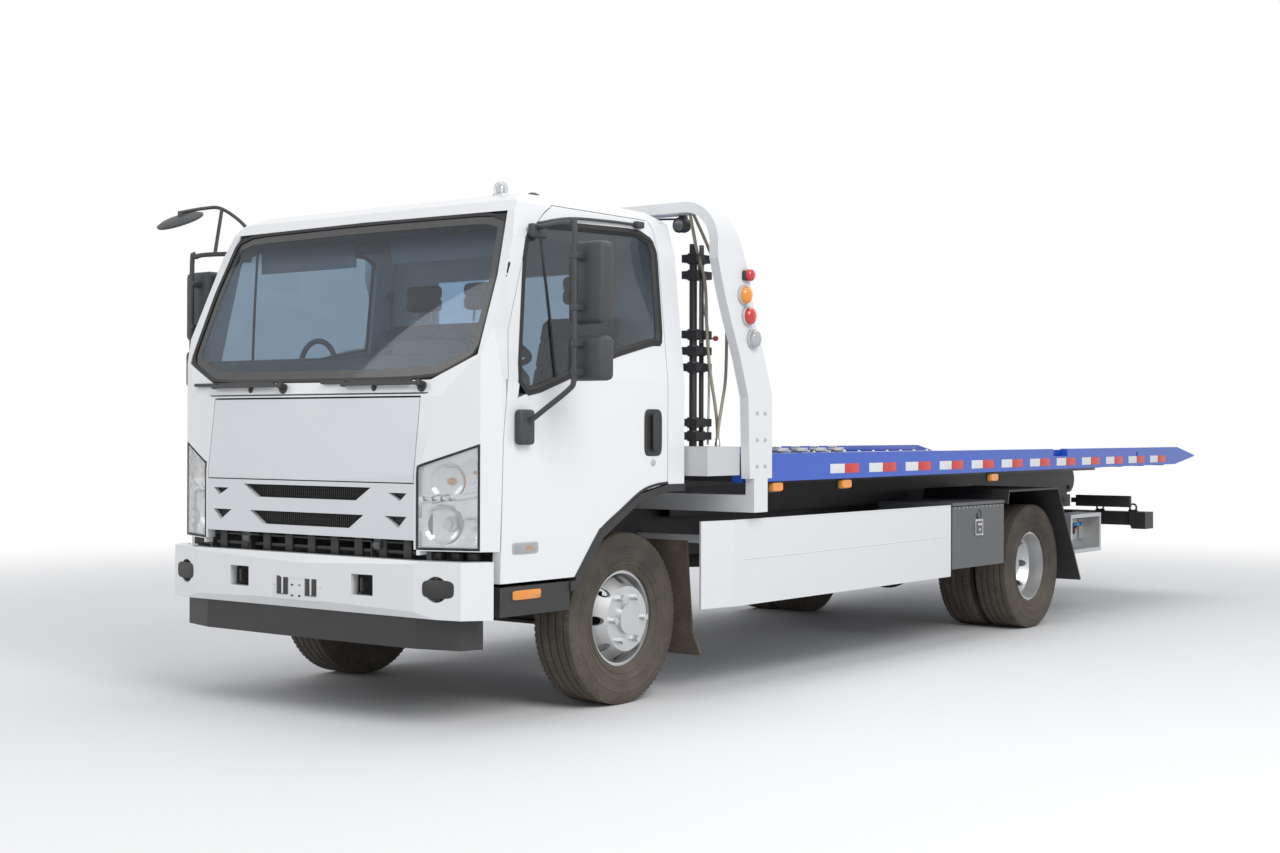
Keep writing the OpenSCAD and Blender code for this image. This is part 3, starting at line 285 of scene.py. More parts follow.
# ---- The frame's own parts in their finishes ----
# Panels, rails, axles and boxes keep their shapes; each takes the paint or metal that the real part has,
# except the grille, the service lid and the equipment tray, whose darker copies are painted shade.


def dress(names, made):
    for name in names.split():
        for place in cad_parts[name].material_slots:
            place.material = made


dress("cab_back_wall cab_roof cab_pillars front_panels left_door right_door front_bumper", cab_white)
# The grille and service lid take the darker white, which is painted shade
dress("grille", lid_white_painted_shade)
dress("service_lid", lid_white_painted_shade)
dress("gantry side_skirts", body_white)
# The white tray is given grey as painted shade
dress("equipment_tray", tray_grey_painted_shade)
dress("deck_rails", deck_blue)
dress("chassis_frame tilt_frame underlift_boom underlift_slider crossbar fork_rack lift_barrels",
      black_paint)
dress("toolboxes left_toolbox_door right_toolbox_door fuel_tank winch cab_floor", box_grey)
dress("air_dam step_panels rear_mudguards steering_wheel left_wiper right_wiper left_mirrors right_mirrors",
      black_plastic)
dress("dashboard", trim_grey)
dress("control_boxes", silver_paint)
dress("front_left_rim front_right_rim rear_left_rims rear_right_rims", rim_silver)
dress("axles leaf_springs powertrain left_knuckle right_knuckle", cast_metal)
dress("lift_rods slide_rod winch_drum", steel)
dress("front_mudguards", mud_rubber)

# ---- Shapes ----
# Pieces are turned, swept or pressed from a few plain forms, in mm in the truck's own measures.


def block(bm, x, y, z, r=0.0, which=0):
    """A block between two values on each axis, with its edges rounded."""
    low, high = spot(min(x), y[0], z[0]), spot(max(x), y[1], z[1])
    made = bmesh.ops.create_cube(bm, size=1.0)["verts"]
    for v in made:
        v.co = Vector((low[i] + (v.co[i] + 0.5) * (high[i] - low[i]) for i in range(3)))
    faces = {f for v in made for f in v.link_faces}
    if r:
        edges = {e for v in made for e in v.link_edges}
        old = set(bm.faces) - faces
        bmesh.ops.bevel(bm, geom=list(edges), offset=r / 1000, segments=3, affect="EDGES", profile=0.5)
        faces = set(bm.faces) - old
    for f in faces:
        f.material_index = which
    return faces


def turned(bm, at, axis, profile, steps=40, which=0):
    """A turned shape: the profile gives [radius, distance along the axis] in mm, from end to end."""
    axis = Vector(axis).normalized()
    side = axis.orthogonal().normalized()
    other = axis.cross(side)
    rings = []
    for radius, along in profile:
        middle = spot(*at) + axis * along / 1000
        if radius <= 0:
            rings.append([bm.verts.new(middle)])
        else:
            rings.append([bm.verts.new(middle + (side * math.cos(a) + other * math.sin(a)) * radius / 1000)
                          for a in (2 * math.pi * k / steps for k in range(steps))])
    for low, high in zip(rings, rings[1:]):
        for k in range(steps):
            ring = [low[k % len(low)], low[(k + 1) % len(low)], high[(k + 1) % len(high)],
                    high[k % len(high)]]
            ring = list(dict.fromkeys(ring))
            if len(ring) > 2:
                bm.faces.new(ring).material_index = which


def smooth_path(points, steps):
    """Points on a smooth curve through the given ones."""
    out = []
    for k in range(len(points) - 1):
        a, b = points[max(k - 1, 0)], points[k]
        c, d = points[k + 1], points[min(k + 2, len(points) - 1)]
        for s in range(steps):
            t = s / steps
            out.append(0.5 * ((2 * b) + (c - a) * t + (2 * a - 5 * b + 4 * c - d) * t * t
                              + (3 * b - a - 3 * c + d) * t ** 3))
    return out + [points[-1]]


def tube(bm, points, r, sides=10, steps=6, which=0):
    """A round tube or rod through the points, with closed ends."""
    path = smooth_path([Vector(p) for p in points], steps) if len(points) > 2 else [Vector(p)
                                                                                    for p in points]
    side = (path[1] - path[0]).orthogonal().normalized()
    rings = []
    for k, p in enumerate(path):
        along = (path[min(k + 1, len(path) - 1)] - path[max(k - 1, 0)]).normalized()
        side = (side - along * side.dot(along)).normalized()
        other = along.cross(side)
        rings.append([bm.verts.new(p + (side * math.cos(a) + other * math.sin(a)) * r / 1000)
                      for a in (2 * math.pi * j / sides for j in range(sides))])
    for low, high in zip(rings, rings[1:]):
        for j in range(sides):
            bm.faces.new((low[j], low[(j + 1) % sides], high[(j + 1) % sides],
                          high[j])).material_index = which
    bm.faces.new(rings[0][::-1]).material_index = which
    bm.faces.new(rings[-1]).material_index = which


def piece(name, bm, finishes, body, angle=35):
    """The finished piece: outward faces, smooth where it curves, riding on its body."""
    bmesh.ops.remove_doubles(bm, verts=bm.verts, dist=1e-6)
    bmesh.ops.recalc_face_normals(bm, faces=bm.faces)
    mesh = bpy.data.meshes.new(name)
    bm.to_mesh(mesh)
    bm.free()
    mesh.shade_smooth()
    mesh.set_sharp_from_angle(angle=math.radians(angle))
    for made in finishes if isinstance(finishes, list) else [finishes]:
        mesh.materials.append(made)
    thing = bpy.data.objects.new(name, mesh)
    scene.collection.objects.link(thing)
    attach(thing, body)
    return thing


# One tree repeats a shape along a line or round a circle, for lugs, slats, pins, bolts and tape.
repeat = bpy.data.node_groups.new("repeat", "GeometryNodeTree")
repeat.is_modifier = True
repeat.interface.new_socket("Geometry", in_out="INPUT", socket_type="NodeSocketGeometry")
repeat.interface.new_socket("Count", in_out="INPUT", socket_type="NodeSocketInt")
for label in ("Step", "Turn"):
    repeat.interface.new_socket(label, in_out="INPUT", socket_type="NodeSocketVector")
repeat.interface.new_socket("Finish", in_out="INPUT", socket_type="NodeSocketMaterial")
repeat.interface.new_socket("Geometry", in_out="OUTPUT", socket_type="NodeSocketGeometry")
given = repeat.nodes.new("NodeGroupInput")
index = node(repeat, "GeometryNodeInputIndex").outputs[0]
steps = [node(repeat, "ShaderNodeVectorMath", {0: given.outputs[label], 3: index},
              operation="SCALE").outputs[0] for label in ("Step", "Turn")]
points = node(repeat, "GeometryNodePoints", {"Count": given.outputs["Count"], "Position": steps[0]})
copies = node(repeat, "GeometryNodeInstanceOnPoints",
              {"Points": points.outputs[0], "Instance": given.outputs["Geometry"], "Rotation": steps[1]})
real = node(repeat, "GeometryNodeRealizeInstances", {0: copies.outputs[0]})
painted = node(repeat, "GeometryNodeSetMaterial", {"Geometry": real.outputs[0],
                                                   "Material": given.outputs["Finish"]})
repeat.links.new(painted.outputs[0], repeat.nodes.new("NodeGroupOutput").inputs[0])
repeat_sockets = {item.name: item.identifier for item in repeat.interface.items_tree
                  if item.in_out == "INPUT"}


def repeated(bm, made, count, step=(0, 0, 0), turn=(0, 0, 0), centre=None):
    """The mesh of a shape repeated by the tree. With a centre, the shape is turned about that point."""
    bmesh.ops.recalc_face_normals(bm, faces=bm.faces)
    if centre:
        bmesh.ops.translate(bm, verts=bm.verts, vec=-centre)
    mesh = bpy.data.meshes.new("unit")
    bm.to_mesh(mesh)
    bm.free()
    unit = bpy.data.objects.new("unit", mesh)
    scene.collection.objects.link(unit)
    row = unit.modifiers.new("repeat", "NODES")
    row.node_group = repeat
    row[repeat_sockets["Count"]] = count
    row[repeat_sockets["Step"]] = [s / 1000 for s in step]
    row[repeat_sockets["Turn"]] = [math.radians(t) for t in turn]
    row[repeat_sockets["Finish"]] = made
    out = bpy.data.meshes.new_from_object(unit.evaluated_get(bpy.context.evaluated_depsgraph_get()))
    bpy.data.objects.remove(unit)
    if centre:
        out.transform(Matrix.Translation(centre))
    return out


def joined(bm, mesh, which=0):
    """Adds a repeated mesh to the piece being made."""
    start = len(bm.faces)
    bm.from_mesh(mesh)
    bm.faces.ensure_lookup_table()
    for k in range(start, len(bm.faces)):
        bm.faces[k].material_index = which


# ---- Tyres ----
# Ribbed radial tyres with worn shoulders: vulcanised rubber, brown with road dust on the tread and paler
# on the sidewalls, with moulded rings. The front pair is single, the rear is in twins on each side.

tyre_rubber, tree, shader = blank("tyre_rubber")
dust = node(tree, "ShaderNodeGroup", node_tree=film_group)
for label, value in (("Scale", 7.0), ("Amount", 0.9), ("Top", 0.9), ("Grain Scale", 260.0)):
    dust.inputs[label].default_value = value
base = mix(tree, dust.outputs["Shade"], (0.030, 0.028, 0.026, 1), (0.06, 0.054, 0.048, 1))
base = mix(tree, dust.outputs["Film"], base, (0.16, 0.135, 0.11, 1))
tree.links.new(base, shader.inputs["Base Color"])
tree.links.new(share(tree, dust.outputs["Shade"], (0.0, 1.0), (0.7, 0.95)), shader.inputs["Roughness"])
tree.links.new(node(tree, "ShaderNodeBump", {"Height": dust.outputs["Grain"], "Strength": 0.35,
                                             "Distance": 0.002}).outputs[0], shader.inputs["Normal"])
shader.inputs["Specular IOR Level"].default_value = 0.25

bead_r = 222.5
groove = 8.0


def tyre(bm, low, high):
    """One tyre in the space between two values of x, in mm, turned about the axle line."""
    middle, half = (low[0] + high[0]) / 2, (high[0] - low[0]) / 2
    crown = (high[2] - low[2]) / 2
    at = (middle, low[1] + crown, low[2] + crown)
    side = [(bead_r, 0.80), (236, 0.86), (250, 0.90), (252, 0.93), (256, 0.93), (258, 0.91), (282, 0.97),
            (284, 0.99), (287, 0.99), (289, 0.975), (312, 1.0), (336, 0.99), (338, 1.0), (341, 1.0),
            (343, 0.98), (366, 0.95), (383, 0.91), (crown - 5, 0.86), (crown - 1.5, 0.80)]
    tread = []
    for at_x in (0.56, 0.19, -0.19, -0.56):
        tread += [(crown - 0.6, at_x + 0.035), (crown - groove, at_x + 0.022),
                  (crown - groove, at_x - 0.022), (crown - 0.6, at_x - 0.035)]
        if at_x == 0.19:
            tread.append((crown, 0.0))
    lining = [(bead_r, 0.60), (245, 0.76), (300, 0.88), (350, 0.86), (374, 0.70), (382, 0.0)]
    ring = side + tread + [(r, -a) for r, a in reversed(side)]
    ring += [(r, -a) for r, a in lining] + [(r, a) for r, a in reversed(lining[:-1])]
    turned(bm, at, (1, 0, 0), [(r, a * half) for r, a in ring + ring[:1]], steps=120)
    # Lugs on the shoulders and the cross slits between the ribs
    lugs = bmesh.new()
    for s in (-1, 1):
        block(lugs, sorted((middle + s * half * 0.87, middle + s * half * 0.62)), (at[1] - 10, at[1] + 10),
              (at[2] + crown - 12, at[2] + crown - 0.4), 1.5)
    block(lugs, (middle - half * 0.50, middle - half * 0.24), (at[1] - 9, at[1] + 9),
          (at[2] + crown - 9, at[2] + crown - 0.2), 1)
    block(lugs, (middle + half * 0.24, middle + half * 0.50), (at[1] - 9, at[1] + 9),
          (at[2] + crown - 9, at[2] + crown - 0.2), 1)
    block(lugs, (middle - half * 0.14, middle + half * 0.14), (at[1] - 9, at[1] + 9),
          (at[2] + crown - 9, at[2] + crown - 0.2), 1)
    count = 84
    joined(bm, repeated(lugs, tyre_rubber, count, turn=(360 / count, 0, 0), centre=spot(*at)))


for name, body, twins in (("front_left_tyre", "front_left_wheel", 1), ("front_right_tyre",
                                                                       "front_right_wheel", 1),
                          ("rear_left_tyres", "rear_left_wheels", 2), ("rear_right_tyres",
                                                                       "rear_right_wheels", 2)):
    low, high = ([p.x * 1000, (p.y - axle_y) * 1000, p.z * 1000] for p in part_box(name))
    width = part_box("front_left_tyre")[1].x * 1000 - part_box("front_left_tyre")[0].x * 1000
    bm = bmesh.new()
    for k in range(twins):
        start = low[0] if k == 0 else high[0] - width
        tyre(bm, (start, low[1], low[2]), (start + width, high[1], high[2]))
    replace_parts(piece(name + "_treaded", bm, tyre_rubber, body), name)

# ---- Glass ----
# Laminated windscreen and tempered side panes, tinted blue-green, with a darker band along the top of
# the screen.


def pane(name, tint, band=None):
    made, tree, shader = blank(name)
    place = on_piece(tree)
    haze = noise(tree, place, 3.0, 6.0)
    dark, light = tones(tint, 0.93, 1.0)
    base = mix(tree, haze, dark, light)
    if band:
        height = node(tree, "ShaderNodeSeparateXYZ", {0: place}).outputs["Z"]
        shade = node(tree, "ShaderNodeMapRange", {"Value": height, "From Min": 2.03, "From Max": 2.17},
                     interpolation_type="SMOOTHSTEP").outputs["Result"]
        base = mix(tree, shade, base, (*band, 1))
    tree.links.new(base, shader.inputs["Base Color"])
    rough = share(tree, haze, (0.5, 0.9), (0.0, 0.08))
    tree.links.new(rough, shader.inputs["Roughness"])
    shader.inputs["Transmission Weight"].default_value = 1.0
    shader.inputs["IOR"].default_value = 1.45
    bump = node(tree, "ShaderNodeBump", {"Height": haze, "Strength": 0.01, "Distance": 0.001})
    tree.links.new(bump.outputs[0], shader.inputs["Normal"])
    return made


dress("cab_glass", pane("windscreen_glass", (0.40, 0.53, 0.66), (0.015, 0.07, 0.14)))
dress("left_door_glass right_door_glass", pane("door_glass", (0.42, 0.48, 0.52)))

# ---- Seals and borders of the windows ----
# Black extruded rubber round the windscreen and each door window, and the printed black border inside
# the screen.

cab_line = [(600, -1110), (1040, -1110), (1412, -1065), (1484, -1042), (2222, -744), (2275, -700)]
plan_line = [(0, -1110), (690, -1105), (955, -1000), (1010, -925)]
side_line = [(600, 1010), (1500, 1010), (2110, 950), (2262, 905)]


def along_line(line, value):
    """The second number of a broken line at a value of the first."""
    for (a, p), (b, q) in zip(line, line[1:]):
        if value <= b:
            return p + (q - p) * max(value - a, 0) / (b - a)
    return line[-1][1]


def nose(x, z, depth=0):
    """A point on the cab's front, or so far behind it."""
    return spot(x, max(along_line(cab_line, z), along_line(plan_line, abs(x))) + depth, z)


def flank(y, z, depth=0, hand=1):
    """A point on the cab's side, or so far inside it."""
    return spot(hand * (along_line(side_line, z) - depth), y, z)


def inset(outline, d):
    """A closed flat outline, drawn in by d."""
    out = []
    turn = sum(a[0] * b[1] - b[0] * a[1] for a, b in zip(outline, outline[1:] + outline[:1]))
    sign = 1 if turn > 0 else -1
    for k, p in enumerate(outline):
        a, b = Vector(outline[k - 1]), Vector(outline[(k + 1) % len(outline)])
        p = Vector(p)
        n1 = Vector((-(p - a).y, (p - a).x)).normalized() * sign
        n2 = Vector((-(b - p).y, (b - p).x)).normalized() * sign
        m = (n1 + n2).normalized()
        out.append(tuple(p + m * d / max(m.dot(n1), 0.4)))
    return out


def rounded(outline, steps=2, cut=0.22):
    """A closed outline with its corners cut round."""
    for _ in range(steps):
        out = []
        for k, p in enumerate(outline):
            q = outline[(k + 1) % len(outline)]
            out += [tuple(Vector(p).lerp(Vector(q), cut)), tuple(Vector(p).lerp(Vector(q), 1 - cut))]
        outline = out
    return outline


def filled_in(outline, longest=40):
    """A closed outline with points added so that no side is longer than that."""
    out = []
    for p, q in zip(outline, outline[1:] + outline[:1]):
        n = max(1, round((Vector(q) - Vector(p)).length / longest))
        out += [tuple(Vector(p).lerp(Vector(q), k / n)) for k in range(n)]
    return out


def band(bm, outer, inner, lift, sink, which=0):
    """A closed strip between two rows of points, raised and sunk from them."""
    count = len(outer)
    rows = [[], [], [], []]
    for k in range(count):
        side = inner[k] - outer[k]
        run = outer[(k + 1) % count] - outer[k - 1]
        out = side.cross(run).normalized()
        for row, p in zip(rows, (outer[k] + out * lift, inner[k] + out * lift, inner[k] - out * sink,
                                 outer[k] - out * sink)):
            row.append(bm.verts.new(p))
    for a, b in zip(rows, rows[1:] + rows[:1]):
        for k in range(count):
            j = (k + 1) % count
            bm.faces.new((a[k], a[j], b[j], b[k])).material_index = which


half = [(0, 1480), (709, 1484), (939, 1588), (925, 1934), (878, 2222), (0, 2230)]
screen = half + [(-x, z) for x, z in reversed(half) if x > 0]
screen = filled_in(rounded(screen[1:] if screen[0][0] == 0 else screen, 2, 0.12), 45)
bm = bmesh.new()
outer, middle, inner = (inset(screen, d) for d in (1, 14, 52))
flip = -1 if (nose(*middle[0]) - nose(*outer[0])).cross(nose(*outer[1]) - nose(*outer[-1])).y > 0 else 1
band(bm, [nose(x, z, 1) for x, z in outer], [nose(x, z, 7) for x, z in middle], 0.002 * flip, -0.010 * -flip)
piece("windscreen_seal", bm, seal_rubber, "cab")
border_print = finish("border_print", (0.008, 0.009, 0.012), 0.18, film=0.05, spread=0.1, coat=0.5)
bm = bmesh.new()
band(bm, [nose(x, z, 11.2) for x, z in middle], [nose(x, z, 11.2) for x, z in inner], 0.0004 * flip,
     0.0002 * flip)
piece("windscreen_border", bm, border_print, "cab")

door_window = [(-825, 1406), (-703, 2098), (-577, 2172), (128, 2198), (223, 2159), (215, 1688), (143, 1686),
               (-155, 1619)]
window_line = filled_in(rounded(door_window, 2, 0.12), 40)
for hand, word in ((1, "left"), (-1, "right")):
    bm = bmesh.new()
    rows = [[flank(y, z, depth, hand) for y, z in inset(window_line, d)] for d,
            depth in ((-20, 0), (0, -1.5), (14, 13))]
    turn = (rows[1][0] - rows[0][0]).cross(rows[0][1] - rows[0][-1]).x * hand
    sign = 1 if turn > 0 else -1
    band(bm, rows[0], rows[1], 0.0025 * sign, 0.002 * sign)
    band(bm, rows[1], rows[2], 0.0015 * sign, 0.004 * sign)
    # The pillar between the quarter light and the drop window
    tube(bm, [flank(-560, 1470, 10, hand), flank(-575, 1800, 12, hand), flank(-590, 2160, 12, hand)], 7, 8)
    piece(word + "_window_seal", bm, seal_rubber, word + "_door")

# ---- Headlamps ----
# A moulded reflector bowl behind a clear polycarbonate lens: the turn signal with an amber bulb above,
# a grey strip with small marks, and the main round reflector below.


def lens_finish(name, tint, ribs=0.0):
    """Moulded lamp plastic, clear or coloured, with faint ribs and a little haze."""
    made, tree, shader = blank(name)
    place = on_piece(tree)
    haze = noise(tree, place, 30.0, 4.0)
    dark, light = tones(tint, 0.9, 1.0)
    tree.links.new(mix(tree, haze, dark, light), shader.inputs["Base Color"])
    tree.links.new(share(tree, haze, (0.0, 1.0), (0.02, 0.08)), shader.inputs["Roughness"])
    wave = node(tree, "ShaderNodeTexWave", {"Vector": place, "Scale": 45.0}).outputs["Fac"]
    rib = reckon(tree, "MULTIPLY_ADD", wave, ribs, haze)
    tree.links.new(node(tree, "ShaderNodeBump", {"Height": rib, "Strength": 0.05 + ribs * 0.3,
                                                 "Distance": 0.002}).outputs[0], shader.inputs["Normal"])
    shader.inputs["Transmission Weight"].default_value = 0.85
    return made


clear_lens = lens_finish("clear_lens", (0.93, 0.95, 0.96))
ribbed_lens = lens_finish("ribbed_lens", (0.90, 0.92, 0.93), 0.6)
amber_lens = finish("amber_lens", (0.85, 0.28, 0.01), 0.12, film=0.1, spread=0.15, coat=0.8, grain=0.1,
                    grain_scale=500.0)
red_lens = finish("red_lens", (0.62, 0.015, 0.015), 0.12, film=0.1, spread=0.2, coat=0.8, grain=0.1,
                  grain_scale=500.0)
reflector = finish("reflector", (0.86, 0.87, 0.88), 0.10, metallic=1.0, film=0.0, spread=0.05, scale=20.0)
lamp_grey = finish("lamp_grey", (0.50, 0.51, 0.52), 0.35, metallic=0.3, film=0.0, spread=0.05)

lamp_x, lamp_z, lamp_top = (687, 952), 766, (1115, 1208)


def lamp_point(u, v):
    """A point on the lamp's face: x and z for two shares of its width and height."""
    x = lamp_x[0] + (lamp_x[1] - lamp_x[0]) * u
    top = lamp_top[0] + (lamp_top[1] - lamp_top[0]) * u
    return x, lamp_z + (top - lamp_z) * v


def double_skin(bm, skins, ribbed_above=None):
    """Two grids of points joined round their edge; rows above a given one take the second finish."""
    grids = [[[bm.verts.new(p) for p in row] for row in skin] for skin in skins]
    rows, cols = len(grids[0]) - 1, len(grids[0][0]) - 1
    for grid in grids:
        for j in range(rows):
            for i in range(cols):
                face = bm.faces.new((grid[j][i], grid[j][i + 1], grid[j + 1][i + 1], grid[j + 1][i]))
                face.material_index = 0 if ribbed_above is None or j <= ribbed_above else 1
    rim = [(0, i) for i in range(cols)] + [(j, cols) for j in range(rows)]
    rim += [(rows, i) for i in range(cols, 0, -1)] + [(j, 0) for j in range(rows, 0, -1)]
    for (j, i), (q, p) in zip(rim, rim[1:] + rim[:1]):
        bm.faces.new((grids[0][j][i], grids[0][q][p], grids[1][q][p], grids[1][j][i]))


for hand, word in ((1, "left"), (-1, "right")):
    dishes = ((800, 1052, 76, 34), (782, 868, 84, 44), (905, 1090, 50, 18), (898, 850, 52, 24))
    steps_u, steps_v = 40, 56
    skins = []
    for extra in (0, 8):
        skin = []
        for j in range(steps_v + 1):
            row = []
            for i in range(steps_u + 1):
                x, z = lamp_point(i / steps_u, j / steps_v)
                depth = 26 + extra
                for cx, cz, r, d in dishes:
                    off = math.hypot(x - cx, z - cz) / r
                    if off < 1:
                        depth = max(depth, 26 + extra + d * math.sqrt(1 - off ** 2))
                if abs(z - 968 - 0.12 * (x - 684)) < 12:
                    depth = 12 + extra
                if min(i, steps_u - i, j, steps_v - j) == 0:
                    depth = 4 + extra
                row.append(nose(hand * x, z, depth))
            skin.append(row)
        skins.append(skin)
    bm = bmesh.new()
    double_skin(bm, skins)
    piece(word + "_headlamp_bowl", bm, reflector, "cab", 50)

    bm = bmesh.new()
    double_skin(bm, [[[nose(hand * x, z, depth) for x, z in (lamp_point(i / 20, j / 24) for i in range(21))]
                      for j in range(25)] for depth in (1.0, 4.0)], 14)
    cover = piece(word + "_headlamp_lens", bm, [clear_lens, ribbed_lens], "cab", 50)
    if hand == 1:
        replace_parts(cover, "cab_lamps")

    bm = bmesh.new()
    for (x, z), r, which in (((800, 1052), 17, 0), ((905, 1090), 10, 0), ((782, 868), 26, 1),
                             ((898, 850), 13, 1)):
        y = (nose(hand * x, z, 52).y - axle_y) * 1000
        turned(bm, (hand * x, y, z), (0, -1, 0), [(0, -18), (r * 0.9, -14), (r, 0), (r * 0.9, 9),
                                                  (r * 0.55, 16), (0, 18)], 24, which)
    for k in range(4):
        x = 712 + k * 36
        y = (nose(hand * x, 975, 10).y - axle_y) * 1000
        block(bm, (hand * x, hand * (x + 5)), (y - 3, y + 2), (970, 988), 1, 2)
        block(bm, (hand * x, hand * (x + 17)), (y - 3, y + 2), (970, 975), 1, 2)
    piece(word + "_headlamp_bulbs", bm, [amber_lens, clear_lens, black_plastic], "cab")

    bm = bmesh.new()
    outline = [lamp_point(u, v) for u, v in ((0, 0), (1, 0), (1, 1), (0, 1))]
    outline = filled_in([(hand * x, z) for x, z in outline], 30)
    rows = [[nose(x, z, d) for x, z in inset(outline, e)] for e, d in ((0.5, -0.3), (7, 0.4))]
    turn = (rows[1][0] - rows[0][0]).cross(rows[0][1] - rows[0][-1]).y
    sign = -1 if turn > 0 else 1
    band(bm, rows[0], rows[1], 0.0012 * sign, 0.012 * sign)
    piece(word + "_headlamp_rim", bm, seal_rubber, "cab")

# ---- Grille and cowl ----
# Black moulded slats stand behind the two slots of the white grille; the wiper cowl carries the washer jets.

bm = bmesh.new()
block(bm, (-440, 440), (-1070, -1062), (826, 1034), 1)
for low, high in ((838, 902), (960, 1022)):
    slat = bmesh.new()
    block(slat, (-436, -431), (-1084, -1069), (low, high), 1)
    joined(bm, repeated(slat, black_plastic, 68, step=(12.98, 0, 0)))
    for z in (low + 14, (low + high) / 2, high - 14):
        block(bm, (-436, 436), (-1080, -1070), (z - 2, z + 2), 0.8)
for hand in (-1, 1):
    block(bm, (hand * 480, hand * 650), (-1078, -1066), (845, 1008), 2)
    for z in (862, 878, 894, 972, 988):
        block(bm, (hand * 490, hand * 645), (-1084, -1076), (z - 3, z + 3), 1)
piece("grille_slats", bm, black_plastic, "cab")

bm = bmesh.new()
for x in (-430, 380):
    p = nose(x, 1452, 0)
    y = (p.y - axle_y) * 1000
    turned(bm, (x, y, 1452), (0, -0.55, 0.83), [(0, -8), (13, -8), (14, 2), (12, 8), (6, 13), (0, 14)], 20)
    tube(bm, [spot(x, y - 4, 1456), spot(x, y - 10, 1466), spot(x, y - 8, 1474)], 4, 8)
for x in (-205, 670):
    p = nose(x, 1455, 0)
    turned(bm, (x, (p.y - axle_y) * 1000 - 2, 1455), (0, -0.93, 0.36),
           [(0, -6), (22, -6), (24, 2), (22, 8), (10, 10), (0, 10)], 28)
piece("washer_jets", bm, black_plastic, "cab")
bm = bmesh.new()
outline = filled_in([(-700, 1424), (700, 1424), (715, 1430), (-715, 1430)], 60)
rows = [[nose(x, z, -0.6) for x, z in inset(outline, d)] for d in (0, 2.9)]
sign = -1 if (rows[1][0] - rows[0][0]).cross(rows[0][1] - rows[0][-1]).y > 0 else 1
band(bm, rows[0], rows[1], 0.0006 * sign, 0.003 * sign)
piece("cowl_strip", bm, seal_rubber, "cab")

# ---- Bumper fittings ----
# Fog lamps in black surrounds, the blank number plate's holder, and the brackets between bumper and grille.

bm = bmesh.new()
face = (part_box("front_bumper")[0].y - axle_y) * 1000
block(bm, (-170, 158), (face + 3, face + 12), (508, 650), 8)
for x in (-143, 42):
    block(bm, (x, x + 79), (face + 2, face + 8), (530, 620), 6, 1)
    block(bm, (x + 34, x + 45), (face + 1, face + 7), (536, 614), 2, 0)
for x in (-40, 8):
    for z in (530, 578):
        block(bm, (x - 8, x + 8), (face + 1, face + 5), (z - 4, z + 4), 2, 1)
bolt = bmesh.new()
turned(bolt, (-157, face + 4, 575), (0, -1, 0), [(0, -2), (8, -2), (8, 1), (5, 3), (0, 3)], 6)
joined(bm, repeated(bolt, steel, 2, step=(301, 0, 0)), 2)
piece("plate_holder", bm, [cab_white, black_plastic, steel], "chassis")

bm = bmesh.new()
for hand in (-1, 1):
    block(bm, (hand * 340, hand * 460), (-1098, -1088), (560, 642), 3)
    rib = bmesh.new()
    block(rib, (hand * 344, hand * 348), (-1112, -1096), (562, 640), 1)
    joined(bm, repeated(rib, black_plastic, 10, step=(hand * 11.8, 0, 0)))
for x in range(-600, 601, 150):
    block(bm, (x - 25, x + 25), (-1070, -1052), (716, 798), 4)
block(bm, (-660, 660), (-1062, -1050), (735, 752), 4)
block(bm, (-660, 660), (-1066, -1058), (780, 790), 3)
for hand in (-1, 1):
    for x in (720, 800, 870):
        block(bm, (hand * x, hand * (x + 46)), (-1040 + (x - 720) * 0.35, -1000 + (x - 720) * 0.35),
              (718, 750), 4)
piece("bumper_brackets", bm, black_plastic, "chassis")


def cushion_outline(low, high, power=0.35, count=40):
    """A rounded rectangle between two corners."""
    mid = [(a + b) / 2 for a, b in zip(low, high)]
    half = [(b - a) / 2 for a, b in zip(low, high)]
    return [(mid[0] + half[0] * math.copysign(abs(math.cos(a)) ** power, math.cos(a)),
             mid[1] + half[1] * math.copysign(abs(math.sin(a)) ** power, math.sin(a)))
            for a in (2 * math.pi * k / count for k in range(count))]


def lofted(bm, rings, which=0):
    """A closed form through rings of points, with flat ends."""
    rings = [[bm.verts.new(p) for p in ring] for ring in rings]
    count = len(rings[0])
    for low, high in zip(rings, rings[1:]):
        for k in range(count):
            bm.faces.new((low[k], low[(k + 1) % count], high[(k + 1) % count],
                          high[k])).material_index = which
    bm.faces.new(rings[0][::-1]).material_index = which
    bm.faces.new(rings[-1]).material_index = which


bumper_line = [(0, -1150), (700, -1138), (930, -1090), (1017, -983)]
fog_x, fog_z = 822, 603
for hand, word in ((1, "left"), (-1, "right")):
    bm = bmesh.new()
    for r, front, depth, which in ((76, 1.5, 40, 0), (60, 0.0, 26, 1)):
        outline = cushion_outline((fog_x - r, fog_z - r / 2), (fog_x + r, fog_z + r / 2), 0.5, 48)
        lofted(bm, [[spot(hand * (fog_x + (x - fog_x) * grow), along_line(bumper_line, x) + back,
                          fog_z + (z - fog_z) * grow) for x, z in outline]
                    for grow, back in ((0.92, -front - 2), (1.0, -front), (1.0, depth))], which)
    piece(word + "_fog_lamp", bm, [black_plastic, ribbed_lens], "chassis", 40)

# ---- Mirrors ----
# Moulded black housings with real glass on their rear faces, on bent steel tubes between two plastic feet;
# the right side also has a truss with the round glass that looks down on the front corner.

